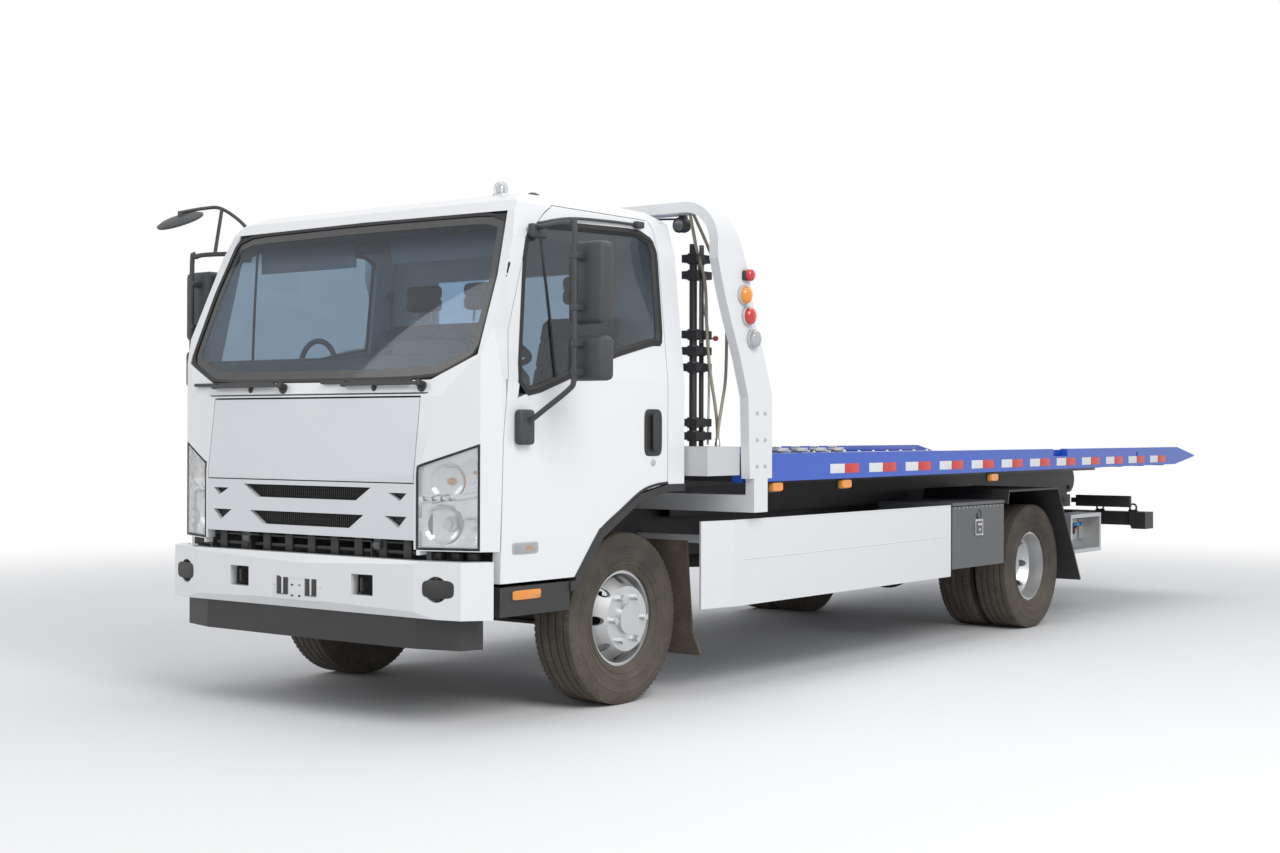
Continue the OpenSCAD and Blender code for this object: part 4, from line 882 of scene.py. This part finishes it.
mirror_glass = finish("mirror_glass", (0.75, 0.77, 0.79), 0.03, metallic=1.0, film=0.04, spread=0.04)
for hand, word in ((1, "left"), (-1, "right")):
    bm = bmesh.new()
    for z, tall, deep in ((1895, 175, 47), (1575, 95, 50)):
        block(bm, (hand * 1171, hand * 1361), (-650 - deep, -650 + deep), (z - tall, z + tall), 26)
        block(bm, (hand * 1186, hand * 1346), (-650 + deep - 4, -650 + deep - 0.5),
              (z - tall + 18, z + tall - 18), 1.5, 1)
        for offset in (-0.62, 0.62):
            block(bm, (hand * 1232, hand * 1268), (-752, -688), (z + offset * tall - 14,
                                                                 z + offset * tall + 14), 6)
    tube(bm, [spot(hand * 1250, -740, 1475), spot(hand * 1250, -740, 2100), spot(hand * 1225, -735, 2140),
              spot(hand * 1150, -712, 2150), spot(hand * 960, -655, 2148)], 12, 12)
    tube(bm, [spot(hand * 1250, -740, 1560), spot(hand * 1248, -742, 1475), spot(hand * 1225, -748, 1440),
              spot(hand * 1120, -775, 1360), spot(hand * 1040, -797, 1300)], 12, 12)
    block(bm, (hand * 952, hand * 985), (-700, -600), (2105, 2165), 9)
    block(bm, (hand * 1010.6, hand * 1050), (-852, -752), (1207, 1358), 16)
    tube(bm, [spot(hand * 962, -640, 2170), spot(hand * 940, -400, 2215), spot(hand * 928, -100, 2232),
              spot(hand * 925, 105, 2236)], 7, 8)
    block(bm, (hand * 916, hand * 948), (95, 150), (2220, 2252), 7)
    if hand == -1:
        for points in (((-925, -600, 2190), (-1010, -610, 2300), (-1150, -634, 2388), (-1205, -700, 2388),
                        (-1200, -850, 2352)), ((-1150, -634, 2385), (-1120, -702, 2152))):
            tube(bm, [spot(*p) for p in points], 9, 10)
        tilt = Vector((0, -math.sin(math.radians(25)), math.cos(math.radians(25))))
        turned(bm, (-1200, -850, 2300), tilt, [(0, 2), (60, 2), (113, 3), (119, 8), (118, 16), (92, 27),
                                               (40, 33), (0, 34)], 48)
        turned(bm, (-1200, -850, 2300), tilt, [(0, 0.3), (60, 0.6), (108, 1.6), (108, 4), (0, 4)], 48, 1)
        tube(bm, [spot(-1200, -856, 2325), spot(-1200, -852, 2356)], 13, 12)
    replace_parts(piece(word + "_mirror_set", bm, [housing_grey, mirror_glass], word + "_door",
                      40), word + "_mirrors")

# ---- Doors' fittings ----
# Pull handles in black cups, side marker lamps with amber bulbs, amber reflectors on the step, and the
# rubber edges along the wheel arch and on the front pillar.

for hand, word in ((1, "left"), (-1, "right")):
    bm = bmesh.new()
    outer = cushion_outline((66, 1150), (202, 1370))
    inner = cushion_outline((80, 1164), (188, 1356))
    cup = cushion_outline((92, 1180), (176, 1340))
    lofted(bm, [[flank(y, z, -0.5, hand) for y, z in outer], [flank(y, z, -5, hand) for y, z in
               cushion_outline((69, 1153), (199, 1367))], [flank(y, z, -5, hand) for y, z in inner],
               [flank(y, z, -1.2, hand) for y, z in cup]])
    block(bm, (hand * 1014, hand * 1030), (116, 156), (1176, 1344), 7)
    turned(bm, (hand * 1012, 134, 1120), (hand, 0, 0), [(0, -1), (15, -1), (15, 3), (11, 5), (4, 5), (0, 3)],
           24, 1)
    piece(word + "_door_handle", bm, [black_plastic, steel], word + "_door", 40)
    bm = bmesh.new()
    for low, high, out, which in (((-860, 741), (-691, 792), 4, 0), ((-853, 747), (-698, 786), 9, 1),
                                  ((-775, 758), (-735, 776), 6, 2)):
        shape = cushion_outline(low, high, 0.3, 32)
        mid = ((low[0] + high[0]) / 2, (low[1] + high[1]) / 2)
        smaller = [(mid[0] + (y - mid[0]) * 0.93, mid[1] + (z - mid[1]) * 0.9) for y, z in shape]
        lofted(bm, [[flank(y, z, 2, hand) for y, z in shape], [flank(y, z, -out * 0.7, hand) for y,
                                                               z in shape], [flank(y, z, -out, hand) for y,
                                                                             z in smaller]], which)
    piece(word + "_marker_lamp", bm, [lamp_grey, clear_lens, amber_lens], word + "_door", 40)
    bm = bmesh.new()
    shape = cushion_outline((-853, 548), (-670, 588), 0.25, 32)
    lofted(bm, [[spot(hand * 1003, y, z) for y, z in shape], [spot(hand * 1010, y, z) for y, z in shape],
                [spot(hand * 1012, y * 0.98 - 15, 568 + (z - 568) * 0.85) for y, z in shape]])
    block(bm, (hand * 1000, hand * 1006), (-862, -661), (540, 596), 2, 1)
    piece(word + "_sill_reflector", bm, [amber_lens, black_plastic], "cab", 40)
    # Rubber along the door's lower edge, over the wheel arch
    bm = bmesh.new()
    path = [(-436, 618), (-350, 722), (-256, 822), (-110, 905), (40, 985), (150, 1014), (250, 1022)]
    tube(bm, [flank(y, z, 1, hand) for y, z in path], 7, 10, 6)
    piece(word + "_door_edge", bm, seal_rubber, word + "_door")
    bm = bmesh.new()
    for k in range(6):
        p = nose(hand * 958, 1836 + k * 25, 0)
        tube(bm, [p + Vector((hand * 0.004, 0.012, 0)), p + Vector((hand * 0.006, 0.018, 0.018))], 6, 8)
    tube(bm, [nose(hand * 957, 1826, 12) + Vector((hand * 0.003, 0, 0)),
              nose(hand * 956, 1985, 12) + Vector((hand * 0.003, 0, 0))], 8, 8)
    piece(word + "_pillar_vent", bm, seal_rubber, "cab")

# ---- Roof lamps ----
# A clear bullet lamp on a bright base and a small black dome behind it.

bm = bmesh.new()
turned(bm, (621, -500, 2320), (0, 0, 1), [(0, 0), (37, 0), (39, 4), (38, 14), (33, 18), (32, 20), (0, 20)],
       40, 0)
turned(bm, (621, -500, 2340), (0, 0, 1), [(0, 0), (31, 0), (32, 14), (31, 30), (26, 44), (15, 52), (0, 54)],
       40, 1)
turned(bm, (621, -500, 2341), (0, 0, 1), [(0, 0), (14, 0), (14, 26), (9, 34), (0, 36)], 24, 0)
turned(bm, (683, -350, 2322), (0, 0, 1), [(0, 0), (38, 0), (40, 6), (38, 12), (28, 26), (14, 33), (0, 35)],
       40, 2)
piece("roof_lamps", bm, [silver_paint, ribbed_lens, black_plastic], "cab", 40)

# ---- Gantry fittings ----
# Round signal lamps on the posts, the work lamp under the arch, the clamps of the stored forks, two hoses
# from the arch down to the tray, and the bolts that hold each post to its foot.

bm = bmesh.new()
for hand in (-1, 1):
    at_x = hand * 1190.3
    block(bm, (at_x, hand * 1206), (606, 676), (1996, 2046), 8, 0)
    turned(bm, (hand * 1204, 645, 2024), (hand, 0, 0), [(0, 0), (30, 0), (30, 8), (28, 20), (19, 28),
                                                        (0, 31)], 36, 1)
    for y, z, which in ((617, 1926, 2), (652, 1826, 1), (697, 1717, 3)):
        turned(bm, (at_x, y, z), (hand, 0, 0), [(0, 0), (47, 0), (48, 4), (47, 12), (43, 15), (0, 15)], 44,
               4)
        turned(bm, (at_x + hand * 13, y, z), (hand, 0, 0), [(0, 0), (42, 0), (42, 6), (38, 18), (26, 27),
                                                            (10, 31), (0, 32)], 44, which)
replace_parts(piece("post_lamps", bm, [black_plastic, red_lens, amber_lens, clear_lens, lamp_grey], "chassis",
                  40), "chassis_lamps")

bm = bmesh.new()
turned(bm, (903, 480, 2272), (0, 1, 0), [(0, 0), (34, 0), (38, 3), (38, 14), (35, 18), (35, 50), (30, 66),
                                         (16, 76), (0, 78)], 40, 0)
turned(bm, (903, 478, 2272), (0, 1, 0), [(0, 0), (24, 0.5), (32, 2.5), (32, 5), (0, 5)], 40, 1)
block(bm, (889, 917), (498, 542), (2296, 2319.6), 4)
tube(bm, [spot(903, 556, 2276), spot(903, 572, 2290), spot(880, 560, 2308), spot(700, 500, 2312),
          spot(400, 470, 2314), spot(100, 462, 2314)], 5, 8)
piece("work_lamp", bm, [black_plastic, clear_lens], "chassis", 40)

bolt = bmesh.new()
turned(bolt, (1190, 745, 1095), (1, 0, 0), [(0, -2), (11, -2), (11, 1), (8, 1.4), (8, 6), (6, 7), (0, 7)], 6)
bm = bmesh.new()
bm.from_mesh(repeated(bolt, silver_paint, 2, step=(0, 70, 0)))
for z in (130, 260):
    bolt = bmesh.new()
    turned(bolt, (1190, 745, 1095 + z), (1, 0, 0), [(0, -2), (11, -2), (11, 1), (8, 1.4), (8, 6), (6, 7),
                                                    (0, 7)], 6)
    joined(bm, repeated(bolt, silver_paint, 2, step=(0, 70, 0)))
bmesh.ops.duplicate(bm, geom=bm.verts[:] + bm.edges[:] + bm.faces[:])
half_count = len(bm.verts) // 2
bm.verts.ensure_lookup_table()
for v in bm.verts[half_count:]:
    v.co.x = -v.co.x
piece("post_bolts", bm, silver_paint, "chassis", 30)

hose_finish = finish("hose_beige", (0.36, 0.32, 0.26), 0.55, film=0.25, spread=0.15, grain=0.3,
                     grain_scale=500.0)
bm = bmesh.new()
routes = (((980, 470, 2318), (984, 520, 2150), (1008, 557, 1989), (1008, 574, 1761), (1008, 601, 1566),
           (1008, 646, 1396), (1010, 662, 1290), (1010, 664, 1192)),
          ((980, 500, 2318), (1000, 585, 2180), (1028, 672, 2000), (1036, 700, 1865), (1036, 703, 1691),
           (1036, 694, 1519), (1036, 664, 1396), (1036, 632, 1273), (1036, 628, 1192)))
for route in routes:
    tube(bm, [spot(*p) for p in route], 8, 10, 8)
    turned(bm, (route[-1][0], route[-1][1], 1192), (0, 0, 1), [(0, 0), (14, 0), (14, 18), (11, 22), (11, 40),
                                                               (0, 40)], 20, 1)
piece("gantry_hoses", bm, [hose_finish, steel], "chassis", 40)

bm = bmesh.new()
for z in (1225, 1290, 1560, 1640, 1720, 2010, 2090):
    turned(bm, (950, 540, z - 7), (0, 0, 1), [(0, 0), (27, 0), (29, 3), (29, 49), (27, 52), (0, 52)], 28)
    turned(bm, (950, 610, z - 4), (0, 0, 1), [(0, 0), (19, 0), (20, 2), (20, 44), (19, 46), (0, 46)], 24)
block(bm, (962, 972), (575, 600), (1700, 2170), 2, 1)
hole = bmesh.new()
turned(hole, (972, 587, 1725), (1, 0, 0), [(0, -1), (7, -1), (7, 1), (5, 1.2), (0, 0.6)], 16)
joined(bm, repeated(hole, black_paint, 14, step=(0, 0, 32)))
tube(bm, [spot(975, 632, 1200), spot(975, 640, 1500), spot(975, 630, 1760), spot(965, 600, 1900),
          spot(950, 560, 2190), spot(945, 520, 2316)], 6, 10, 6, 2)
turned(bm, (1020, 632, 1722), (1, 0, 0), [(0, -14), (9, -11), (14, -3), (14, 3), (9, 11), (0, 14)], 24, 3)
tube(bm, [spot(975, 634, 1720), spot(1018, 632, 1722)], 4, 8, 4, 2)
piece("fork_clamps", bm, [black_paint, tray_grey_painted_shade, silver_paint, red_lens], "chassis", 40)

# ---- Deck trim ----
# Retro-reflective tape in white and red along each rail's foot, amber marker lamps below it, a bright strip
# with pins on the rail's top, and the ratchet straps that lie on it.


def tape_finish(name, colour):
    """Prismatic tape: small cells in the film under a glossy skin."""
    made, tree, shader = blank(name)
    place = on_piece(tree)
    cells = node(tree, "ShaderNodeTexVoronoi", {"Vector": place, "Scale": 220.0}).outputs["Distance"]
    dark, light = tones(colour, 0.75, 1.0)
    film = node(tree, "ShaderNodeGroup", node_tree=film_group)
    film.inputs["Amount"].default_value = 0.2
    base = mix(tree, cells, light, dark)
    base = node(tree, "ShaderNodeMix", {0: film.outputs["Film"], 6: base, 7: (0.4, 0.37, 0.33, 1)},
                data_type="RGBA")
    tree.links.new(base.outputs[2], shader.inputs["Base Color"])
    tree.links.new(share(tree, cells, (0.0, 1.0), (0.18, 0.4)), shader.inputs["Roughness"])
    tree.links.new(node(tree, "ShaderNodeBump", {"Height": cells, "Strength": 0.15,
                                                 "Distance": 0.001}).outputs[0], shader.inputs["Normal"])
    return made


tape_white, tape_red = tape_finish("tape_white", (0.86, 0.87, 0.88)), tape_finish("tape_red",
                                                                                  (0.72, 0.03, 0.03))
rail_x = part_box("deck_rails")[1].x * 1000
for hand, word in ((1, "left"), (-1, "right")):
    bm = bmesh.new()
    for start, made, which in ((1544, tape_white, 0), (1694, tape_red, 1)):
        strip = bmesh.new()
        block(strip, (hand * (rail_x - 1.5), hand * (rail_x + 1.2)), (start, start + 148), (1046, 1096), 0.5)
        joined(bm, repeated(strip, made, 12, step=(0, 410, 0)), which)
    piece(word + "_rail_tape", bm, [tape_white, tape_red], "deck")
    bm = bmesh.new()
    for y in (996, 1680, 3463):
        shape = cushion_outline((y, 962), (y + 100, 1012), 0.4, 32)
        smaller = [(y + 50 + (a - y - 50) * 0.9, 987 + (b - 987) * 0.82) for a, b in shape]
        lofted(bm, [[spot(hand * 1092, a, b) for a, b in shape], [spot(hand * 1112, a, b) for a, b in shape],
                    [spot(hand * 1120, a, b) for a, b in smaller]], 0)
        block(bm, (hand * 1084, hand * 1094), (y - 6, y + 106), (958, 1018), 3, 1)
    piece(word + "_rail_markers", bm, [amber_lens, black_plastic], "deck", 40)
    bm = bmesh.new()
    block(bm, (hand * (rail_x - 40), hand * (rail_x - 8)), (700, 2752), (1155.5, 1158), 1)
    pin = bmesh.new()
    turned(pin, (hand * (rail_x - 24), 800, 1156), (0, 0, 1), [(0, 0), (9, 0), (9, 6), (6, 9), (0, 10)], 16)
    joined(bm, repeated(pin, steel, 13, step=(0, 155, 0)))
    piece(word + "_rail_strip", bm, steel, "deck")

web_strap = finish("web_strap", (0.10, 0.13, 0.22), 0.85, film=0.1, spread=0.3, grain=0.8, grain_scale=700.0)
bm = bmesh.new()
for y in (1052, 1236, 1420, 1604):
    block(bm, (rail_x - 62, rail_x - 6), (y, y + 46), (1158, 1164), 2, 1)
    block(bm, (rail_x - 58, rail_x - 12), (y + 8, y + 96), (1164, 1180), 5)
    tube(bm, [spot(rail_x - 60, y + 92, 1176), spot(rail_x - 10, y + 92, 1176)], 7, 12)
    tube(bm, [spot(rail_x - 60, y + 20, 1184), spot(rail_x - 12, y + 20, 1184)], 6, 12)
    tube(bm, [spot(rail_x - 36, y + 100, 1172), spot(rail_x - 44, y + 130, 1166),
              spot(rail_x - 36, y + 150, 1164), spot(rail_x - 24, y + 134, 1166)], 5, 8)
piece("rail_ratchets", bm, [silver_paint, web_strap], "deck", 40)

# Ribs pressed into the deck floor across its width, and the guide rails beside the winch rope
bm = bmesh.new()
rib = bmesh.new()
block(rib, (-1060, 1060), (1150, 1166), (1107, 1112), 2)
joined(bm, repeated(rib, deck_blue, 44, step=(0, 122, 0)))
for hand in (-1, 1):
    block(bm, (hand * 1062, hand * 1074), (720, 6560), (1107, 1150), 2)
piece("deck_ribs", bm, deck_blue, "deck")

# ---- Skirts and toolboxes ----
# Pressed aluminium skirts with one long swage; steel toolboxes with a chrome latch and piano hinges.

for hand, word in ((1, "left"), (-1, "right")):
    bm = bmesh.new()
    tube(bm, [spot(hand * 1128.5, 700, 640), spot(hand * 1128.5, 2860, 652)], 5, 10)
    block(bm, (hand * 1124, hand * 1131.5), (640, 2905), (826, 836), 2.5)
    block(bm, (hand * 1124, hand * 1131.5), (640, 2905), (414, 422), 2.5)
    piece(word + "_skirt_swage", bm, body_white, "chassis", 50)
    bm = bmesh.new()
    block(bm, (hand * 1129, hand * 1136), (3215, 3318), (640, 742), 8)
    block(bm, (hand * 1134, hand * 1139), (3228, 3305), (653, 729), 4, 1)
    block(bm, (hand * 1137, hand * 1146), (3240, 3290), (700, 716), 4)
    turned(bm, (hand * 1136, 3266, 676), (hand, 0, 0), [(0, 0), (11, 0), (11, 5), (8, 7), (0, 7)], 24)
    rivet = bmesh.new()
    turned(rivet, (hand * 1130, 2960, 815), (hand, 0, 0), [(0, -1), (5, -1), (5, 1), (3, 2.5), (0, 3)], 12)
    joined(bm, repeated(rivet, steel, 13, step=(0, 52, 0)))
    piece(word + "_toolbox_latch", bm, [steel, box_grey], word + "_toolbox_door", 40)

# ---- Deck floor ----
# One sprayed blue plate over cross members; below its top edge the colour turns near-black, which is painted
# shade for the dark space under the deck.

floor_paint_and_painted_shade, floor_tree, floor_shader = blank("floor_paint_and_painted_shade")
floor_place = on_piece(floor_tree)
floor_film = node(floor_tree, "ShaderNodeGroup", node_tree=film_group)
floor_film.inputs["Amount"].default_value = 0.35
floor_film.inputs["Top"].default_value = 2.0
# Mask: blue above the deck's top face, near-black painted shade below it
above = share(floor_tree, node(floor_tree, "ShaderNodeSeparateXYZ", {0: floor_place}).outputs["Z"],
              (1.094, 1.096))
scuff = noise(floor_tree, node(floor_tree, "ShaderNodeMapping", { "Vector": floor_place,
                                                                 "Scale": (9.0, 0.6,
                                                                           9.0)}).outputs[0], 4.0, 8.0)
worn = share(floor_tree, scuff, (0.60, 0.75), (0.0, 0.35))
blue = mix(floor_tree, worn, (0.011, 0.075, 0.47, 1), (0.10, 0.15, 0.30, 1))
# Everything under the top face is painted near-black as painted shade, not as primer
deck_colour_with_painted_shade = mix(floor_tree, above, (0.016, 0.016, 0.018, 1), blue)
deck_colour_with_painted_shade = mix(floor_tree, floor_film.outputs["Film"], deck_colour_with_painted_shade, (0.20, 0.20, 0.21, 1))
floor_tree.links.new(deck_colour_with_painted_shade, floor_shader.inputs["Base Color"])
floor_tree.links.new(share(floor_tree, scuff, (0.0, 1.0), (0.3, 0.55)), floor_shader.inputs["Roughness"])
floor_tree.links.new(node(floor_tree, "ShaderNodeBump", {"Height": scuff, "Strength": 0.1,
                                                         "Distance": 0.002}).outputs[0],
                     floor_shader.inputs["Normal"])
dress("deck", floor_paint_and_painted_shade)

# ---- Tail lamps and tow rings ----
# Black-backed lamp units with red, amber and clear cells under the deck, and shackle rings on the crossbar.

bm = bmesh.new()
for hand in (-1, 1):
    block(bm, (hand * 470, hand * 900), (6236, 6272), (705, 790), 6)
    for start, end, which in ((478, 610, 1), (614, 746, 2), (750, 892, 3)):
        block(bm, (hand * start, hand * end), (6268, 6288), (712, 783), 6, which)
    block(bm, (hand * 431, hand * 475), (6242, 6270), (732, 768), 3)
piece("tail_lamps", bm, [black_plastic, red_lens, amber_lens, clear_lens], "chassis", 40)
bm = bmesh.new()
for hand in (-1, 1):
    for at_x in (620, 880):
        ring = [spot(hand * (at_x + 26 * math.cos(a)), 6350, 700 + 26 * math.sin(a))
                for a in (math.pi * (k / 12 * 1.5 - 0.25) for k in range(13))]
        tube(bm, ring, 7, 10, 2)
        block(bm, (hand * (at_x - 34), hand * (at_x + 34)), (6338, 6362), (668, 684), 4)
piece("crossbar_rings", bm, black_paint, "crossbar", 50)

# ---- Winch rope ----
# Wire rope wound side by side on the drum.

rope_wire = finish("rope_wire", (0.34, 0.34, 0.33), 0.4, metallic=0.9, film=0.3, spread=0.2, grain=1.2,
                   grain_scale=900.0)
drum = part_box("winch_drum")
drum_y, drum_z = ((drum[0].y + drum[1].y) / 2 - axle_y) * 1000, (drum[0].z + drum[1].z) * 500
turn_shape = bmesh.new()
turned(turn_shape, (-204, drum_y, drum_z), (1, 0, 0), [(72 + 5 * math.sin(a), -5 * math.cos(a))
                                                       for a in (2 * math.pi * k / 8 for k in range(9))], 48)
bm = bmesh.new()
joined(bm, repeated(turn_shape, rope_wire, 40, step=(10.4, 0, 0)))
piece("winch_rope", bm, rope_wire, "winch_drum", 60)

# ---- Control boxes ----
# Open steel boxes behind the rear wheels: a panel of lever valves with knobs, warning triangle left plain.

knob_blue = finish("knob_blue", (0.02, 0.15, 0.60), 0.3, film=0.1, spread=0.1, coat=0.4)
knob_orange = finish("knob_orange", (0.80, 0.15, 0.02), 0.3, film=0.1, spread=0.1, coat=0.4)
knob_teal = finish("knob_teal", (0.02, 0.42, 0.36), 0.3, film=0.1, spread=0.1, coat=0.4)
plain_yellow = finish("plain_yellow", (0.85, 0.62, 0.02), 0.4, film=0.1, spread=0.08)
for hand, word in ((1, "left"), (-1, "right")):
    bm = bmesh.new()
    for k, which in enumerate((1, 2, 1, 3, 1)):
        y = 4890 + k * 58
        block(bm, (hand * 929, hand * 944), (y - 16, y + 16), (560, 620), 4)
        tube(bm, [spot(hand * 940, y, 600), spot(hand * 985, y, 628)], 6, 8)
        turned(bm, (hand * 985, y, 628), (hand * 0.85, 0, 0.52), [(0, -8), (10, -6), (14, 2), (13, 12),
                                                                  (7, 18), (0, 19)], 20, which)
    turned(bm, (hand * 931, 5150, 600), (hand, 0, 0), [(0, 0), (17, 0), (17, 10), (14, 13), (0, 13)], 24, 2)
    corners = ((5240, 600), (5290, 600), (5265, 645))
    lofted(bm, [[spot(hand * x, y, z) for y, z in corners] for x in (930, 933)], 4)
    bmesh.ops.recalc_face_normals(bm, faces=bm.faces[:])
    for z in (447, 698):
        block(bm, (hand * 1046, hand * 1051), (4825, 5322), (z - 6, z + 6), 2, 5)
    piece(word + "_valve_levers", bm, [black_plastic, knob_blue, knob_orange, knob_teal, plain_yellow,
                                       silver_paint], "chassis", 40)

# ---- Seats ----
# Foam cushions and backs under dark blue-grey woven cloth, on black steel bases.

seat_cloth, cloth_tree, cloth_shader = blank("seat_cloth")
cloth_place = on_piece(cloth_tree)
threads = [node(cloth_tree, "ShaderNodeTexWave", {"Vector": cloth_place, "Scale": 160.0, "Distortion": 1.0},
                bands_direction=way).outputs["Fac"] for way in ("X", "Y")]
weave = reckon(cloth_tree, "MULTIPLY", threads[0], threads[1])
fade = noise(cloth_tree, cloth_place, 9.0, 4.0)
thread = mix(cloth_tree, weave, (0.018, 0.024, 0.035, 1), (0.075, 0.095, 0.13, 1))
faded = mix(cloth_tree, fade, thread, (0.05, 0.06, 0.08, 1))
cloth_tree.links.new(faded, cloth_shader.inputs["Base Color"])
cloth_tree.links.new(share(cloth_tree, weave, (0.0, 1.0), (0.75, 0.95)), cloth_shader.inputs["Roughness"])
cloth_shader.inputs["Sheen Weight"].default_value = 0.25
cloth_tree.links.new(node(cloth_tree, "ShaderNodeBump", {"Height": weave, "Strength": 0.4,
                                                         "Distance": 0.001}).outputs[0],
                     cloth_shader.inputs["Normal"])


def outline_slab(bm, x, outline, r):
    """An outline in y and z carried across x, with its ends drawn in by r."""
    middle = [sum(p[k] for p in outline) / len(outline) for k in (0, 1)]
    rings = []
    for at_x, inward in ((x[0], r), (x[0] + r * 0.6, r * 0.25), (x[0] + r * 1.5, 0), (x[1] - r * 1.5, 0),
                         (x[1] - r * 0.6, r * 0.25), (x[1], r)):
        rings.append([spot(at_x, *(m + (v - m) * (1 - inward / max(abs(v - m), r * 2)) for v,
                                   m in zip(p, middle))) for p in outline])
    lofted(bm, rings)


def stuffed(name, bm, voxel, cap, channels, held_below):
    """A sewn cover blown up by cloth under pressure, then drawn in along its channels: (axis, place)."""
    bmesh.ops.recalc_face_normals(bm, faces=bm.faces[:])
    mesh = bpy.data.meshes.new(name)
    bm.to_mesh(mesh)
    bm.free()
    cover = bpy.data.objects.new(name, mesh)
    scene.collection.objects.link(cover)

    def settle():
        shown = bpy.data.meshes.new_from_object(cover.evaluated_get(bpy.context.evaluated_depsgraph_get()))
        cover.modifiers.clear()
        cover.data = shown

    remesh = cover.modifiers.new("Remesh", "REMESH")
    remesh.mode, remesh.voxel_size = "VOXEL", voxel
    settle()
    start = [v.co.copy() for v in cover.data.vertices]
    held = cover.vertex_groups.new(name="held")
    held.add([k for k, p in enumerate(start) if p.z < held_below], 1.0, "REPLACE")
    cloth = cover.modifiers.new("Cloth", "CLOTH")
    cloth.settings.use_pressure = True
    cloth.settings.uniform_pressure_force = 4
    cloth.settings.effector_weights.gravity = 0
    cloth.settings.vertex_group_mass = "held"
    cloth.point_cache.frame_start, cloth.point_cache.frame_end = 1, 20
    for step in range(1, 21):
        scene.frame_set(step)
    settle()
    scene.frame_set(1)
    for v, p in zip(cover.data.vertices, start):
        moved = v.co - p
        v.co = p + moved * min(1, cap / max(moved.length, 1e-6))
    fine = cover.modifiers.new("Fine", "SUBSURF")
    fine.levels = fine.render_levels = 1
    settle()
    outward = [v.normal.copy() for v in cover.data.vertices]
    for v, way in zip(cover.data.vertices, outward):
        depth = sum(0.007 * math.exp(-((v.co[axis] - place) / 0.008) ** 2) for axis, place in channels)
        v.co -= way * depth
    cover.data.materials.clear()
    cover.data.materials.append(seat_cloth)
    cover.data.shade_smooth()
    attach(cover, "cab")
    return cover


bases = bmesh.new()
for word, middle, half, rests in (("driver", 470, 250, (470,)), ("passenger", -400, 460, (-600, -190))):
    x = (middle - half + 14, middle + half - 14)
    block(bases, (middle - half + 60, middle + half - 60), (-380, 60), (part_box("seats")[0].z * 1000, 1185),
          8)
    block(bases, (middle - half + 30, middle + half - 30), (-400, 70), (1172, 1190), 6)
    shape = bmesh.new()
    block(shape, x, (-418, 78), (1196, 1306), 34)
    stuffed(word + "_cushion", shape, 0.010, 0.013, [(0, (x[0] + 85) / 1000), (0, (x[1] - 85) / 1000),
                                                     *((1, spot(0, y, 0).y)
                                                       for y in (-300, -180, -60))], 1.20)
    shape = bmesh.new()
    outline_slab(shape, x, [(88, 1325), (104, 1308), (180, 1308), (198, 1330), (309, 1812), (300, 1836),
                            (258, 1836), (240, 1822)], 26)
    stuffed(word + "_back", shape, 0.010, 0.013, [(0, (x[0] + 85) / 1000), (0, (x[1] - 85) / 1000),
                                                  (2, 1.45), (2, 1.58), (2, 1.71)], 1.312)
    for k, at_x in enumerate(rests):
        shape = bmesh.new()
        block(shape, (at_x - 113, at_x + 113), (235, 303), (1890, 2030), 26)
        stuffed(word + "_headrest_" + str(k + 1), shape, 0.007, 0.009, [(2, 1.96)], 1.0)
        for side in (-50, 50):
            tube(bases, [spot(at_x + side, 262, 1835), spot(at_x + side, 270, 1894)], 7, 10, 4, 1)
    tube(bases, [spot(x[1] + 8, 20, 1190), spot(x[1] + 10, 60, 1240), spot(x[1] + 8, 90, 1300)], 9, 8, 4, 2)
    block(bases, (x[0] - 4, x[0] + 22), (96, 120), (1290, 1345), 5, 2)
    block(bases, (x[0] - 2, x[0] + 20), (99, 117), (1344, 1352), 3, 3)
seat_frame = piece("seat_frames", bases, [box_grey, steel, black_plastic, red_lens], "cab", 40)
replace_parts(seat_frame, "seats")

# ---- Cab fittings ----
# Woven belts from the rear pillars, vinyl sun visors under the header, the interior mirror, dash vents,
# and a gear lever in its rubber gaiter.

belt_web = finish("belt_web", (0.03, 0.03, 0.033), 0.8, film=0.05, spread=0.2, grain=0.9, grain_scale=900.0)
visor_vinyl = finish("visor_vinyl", (0.42, 0.42, 0.40), 0.7, film=0.05, spread=0.1, grain=0.4,
                     grain_scale=500.0)
bm = bmesh.new()
for hand in (1, -1):
    outer = hand * 905
    tube(bm, [spot(outer, 325, 1985), spot(outer, 322, 1700), spot(outer, 320, 1330)], 4, 8, 4)
    block(bm, (outer - 14, outer + 14), (312, 332), (1975, 2015), 5, 1)
    block(bm, (hand * 120, hand * 780), (-690, -678), (2030, 2150), 5, 2)
    tube(bm, [spot(hand * 120, -684, 2152), spot(hand * 780, -684, 2152)], 5, 8, 4, 1)
for at_x in (-760, -600, 120, 730):
    block(bm, (at_x - 62, at_x + 62), (-768, -752), (1520, 1556), 5, 1)
    slat = bmesh.new()
    block(slat, (at_x - 54, at_x + 54), (-751, -746), (1524, 1527), 0.8)
    joined(bm, repeated(slat, black_plastic, 4, step=(0, 0, 8)), 1)
turned(bm, (90, -560, 1000), (0, 0.1, 1), [(0, 0), (60, 0), (52, 60), (16, 110), (9, 130), (9, 420),
                                           (0, 420)], 24, 1)
turned(bm, (90, -518, 1418), (0, 0.1, 1), [(0, 0), (20, 4), (27, 22), (24, 44), (0, 54)], 24, 1)
block(bm, (-110, 110), (-706, -684), (2085, 2150), 12, 1)
block(bm, (-104, 104), (-683, -681), (2091, 2144), 1, 3)
piece("cab_fittings", bm, [belt_web, black_plastic, visor_vinyl, mirror_glass], "cab", 40)

low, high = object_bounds()
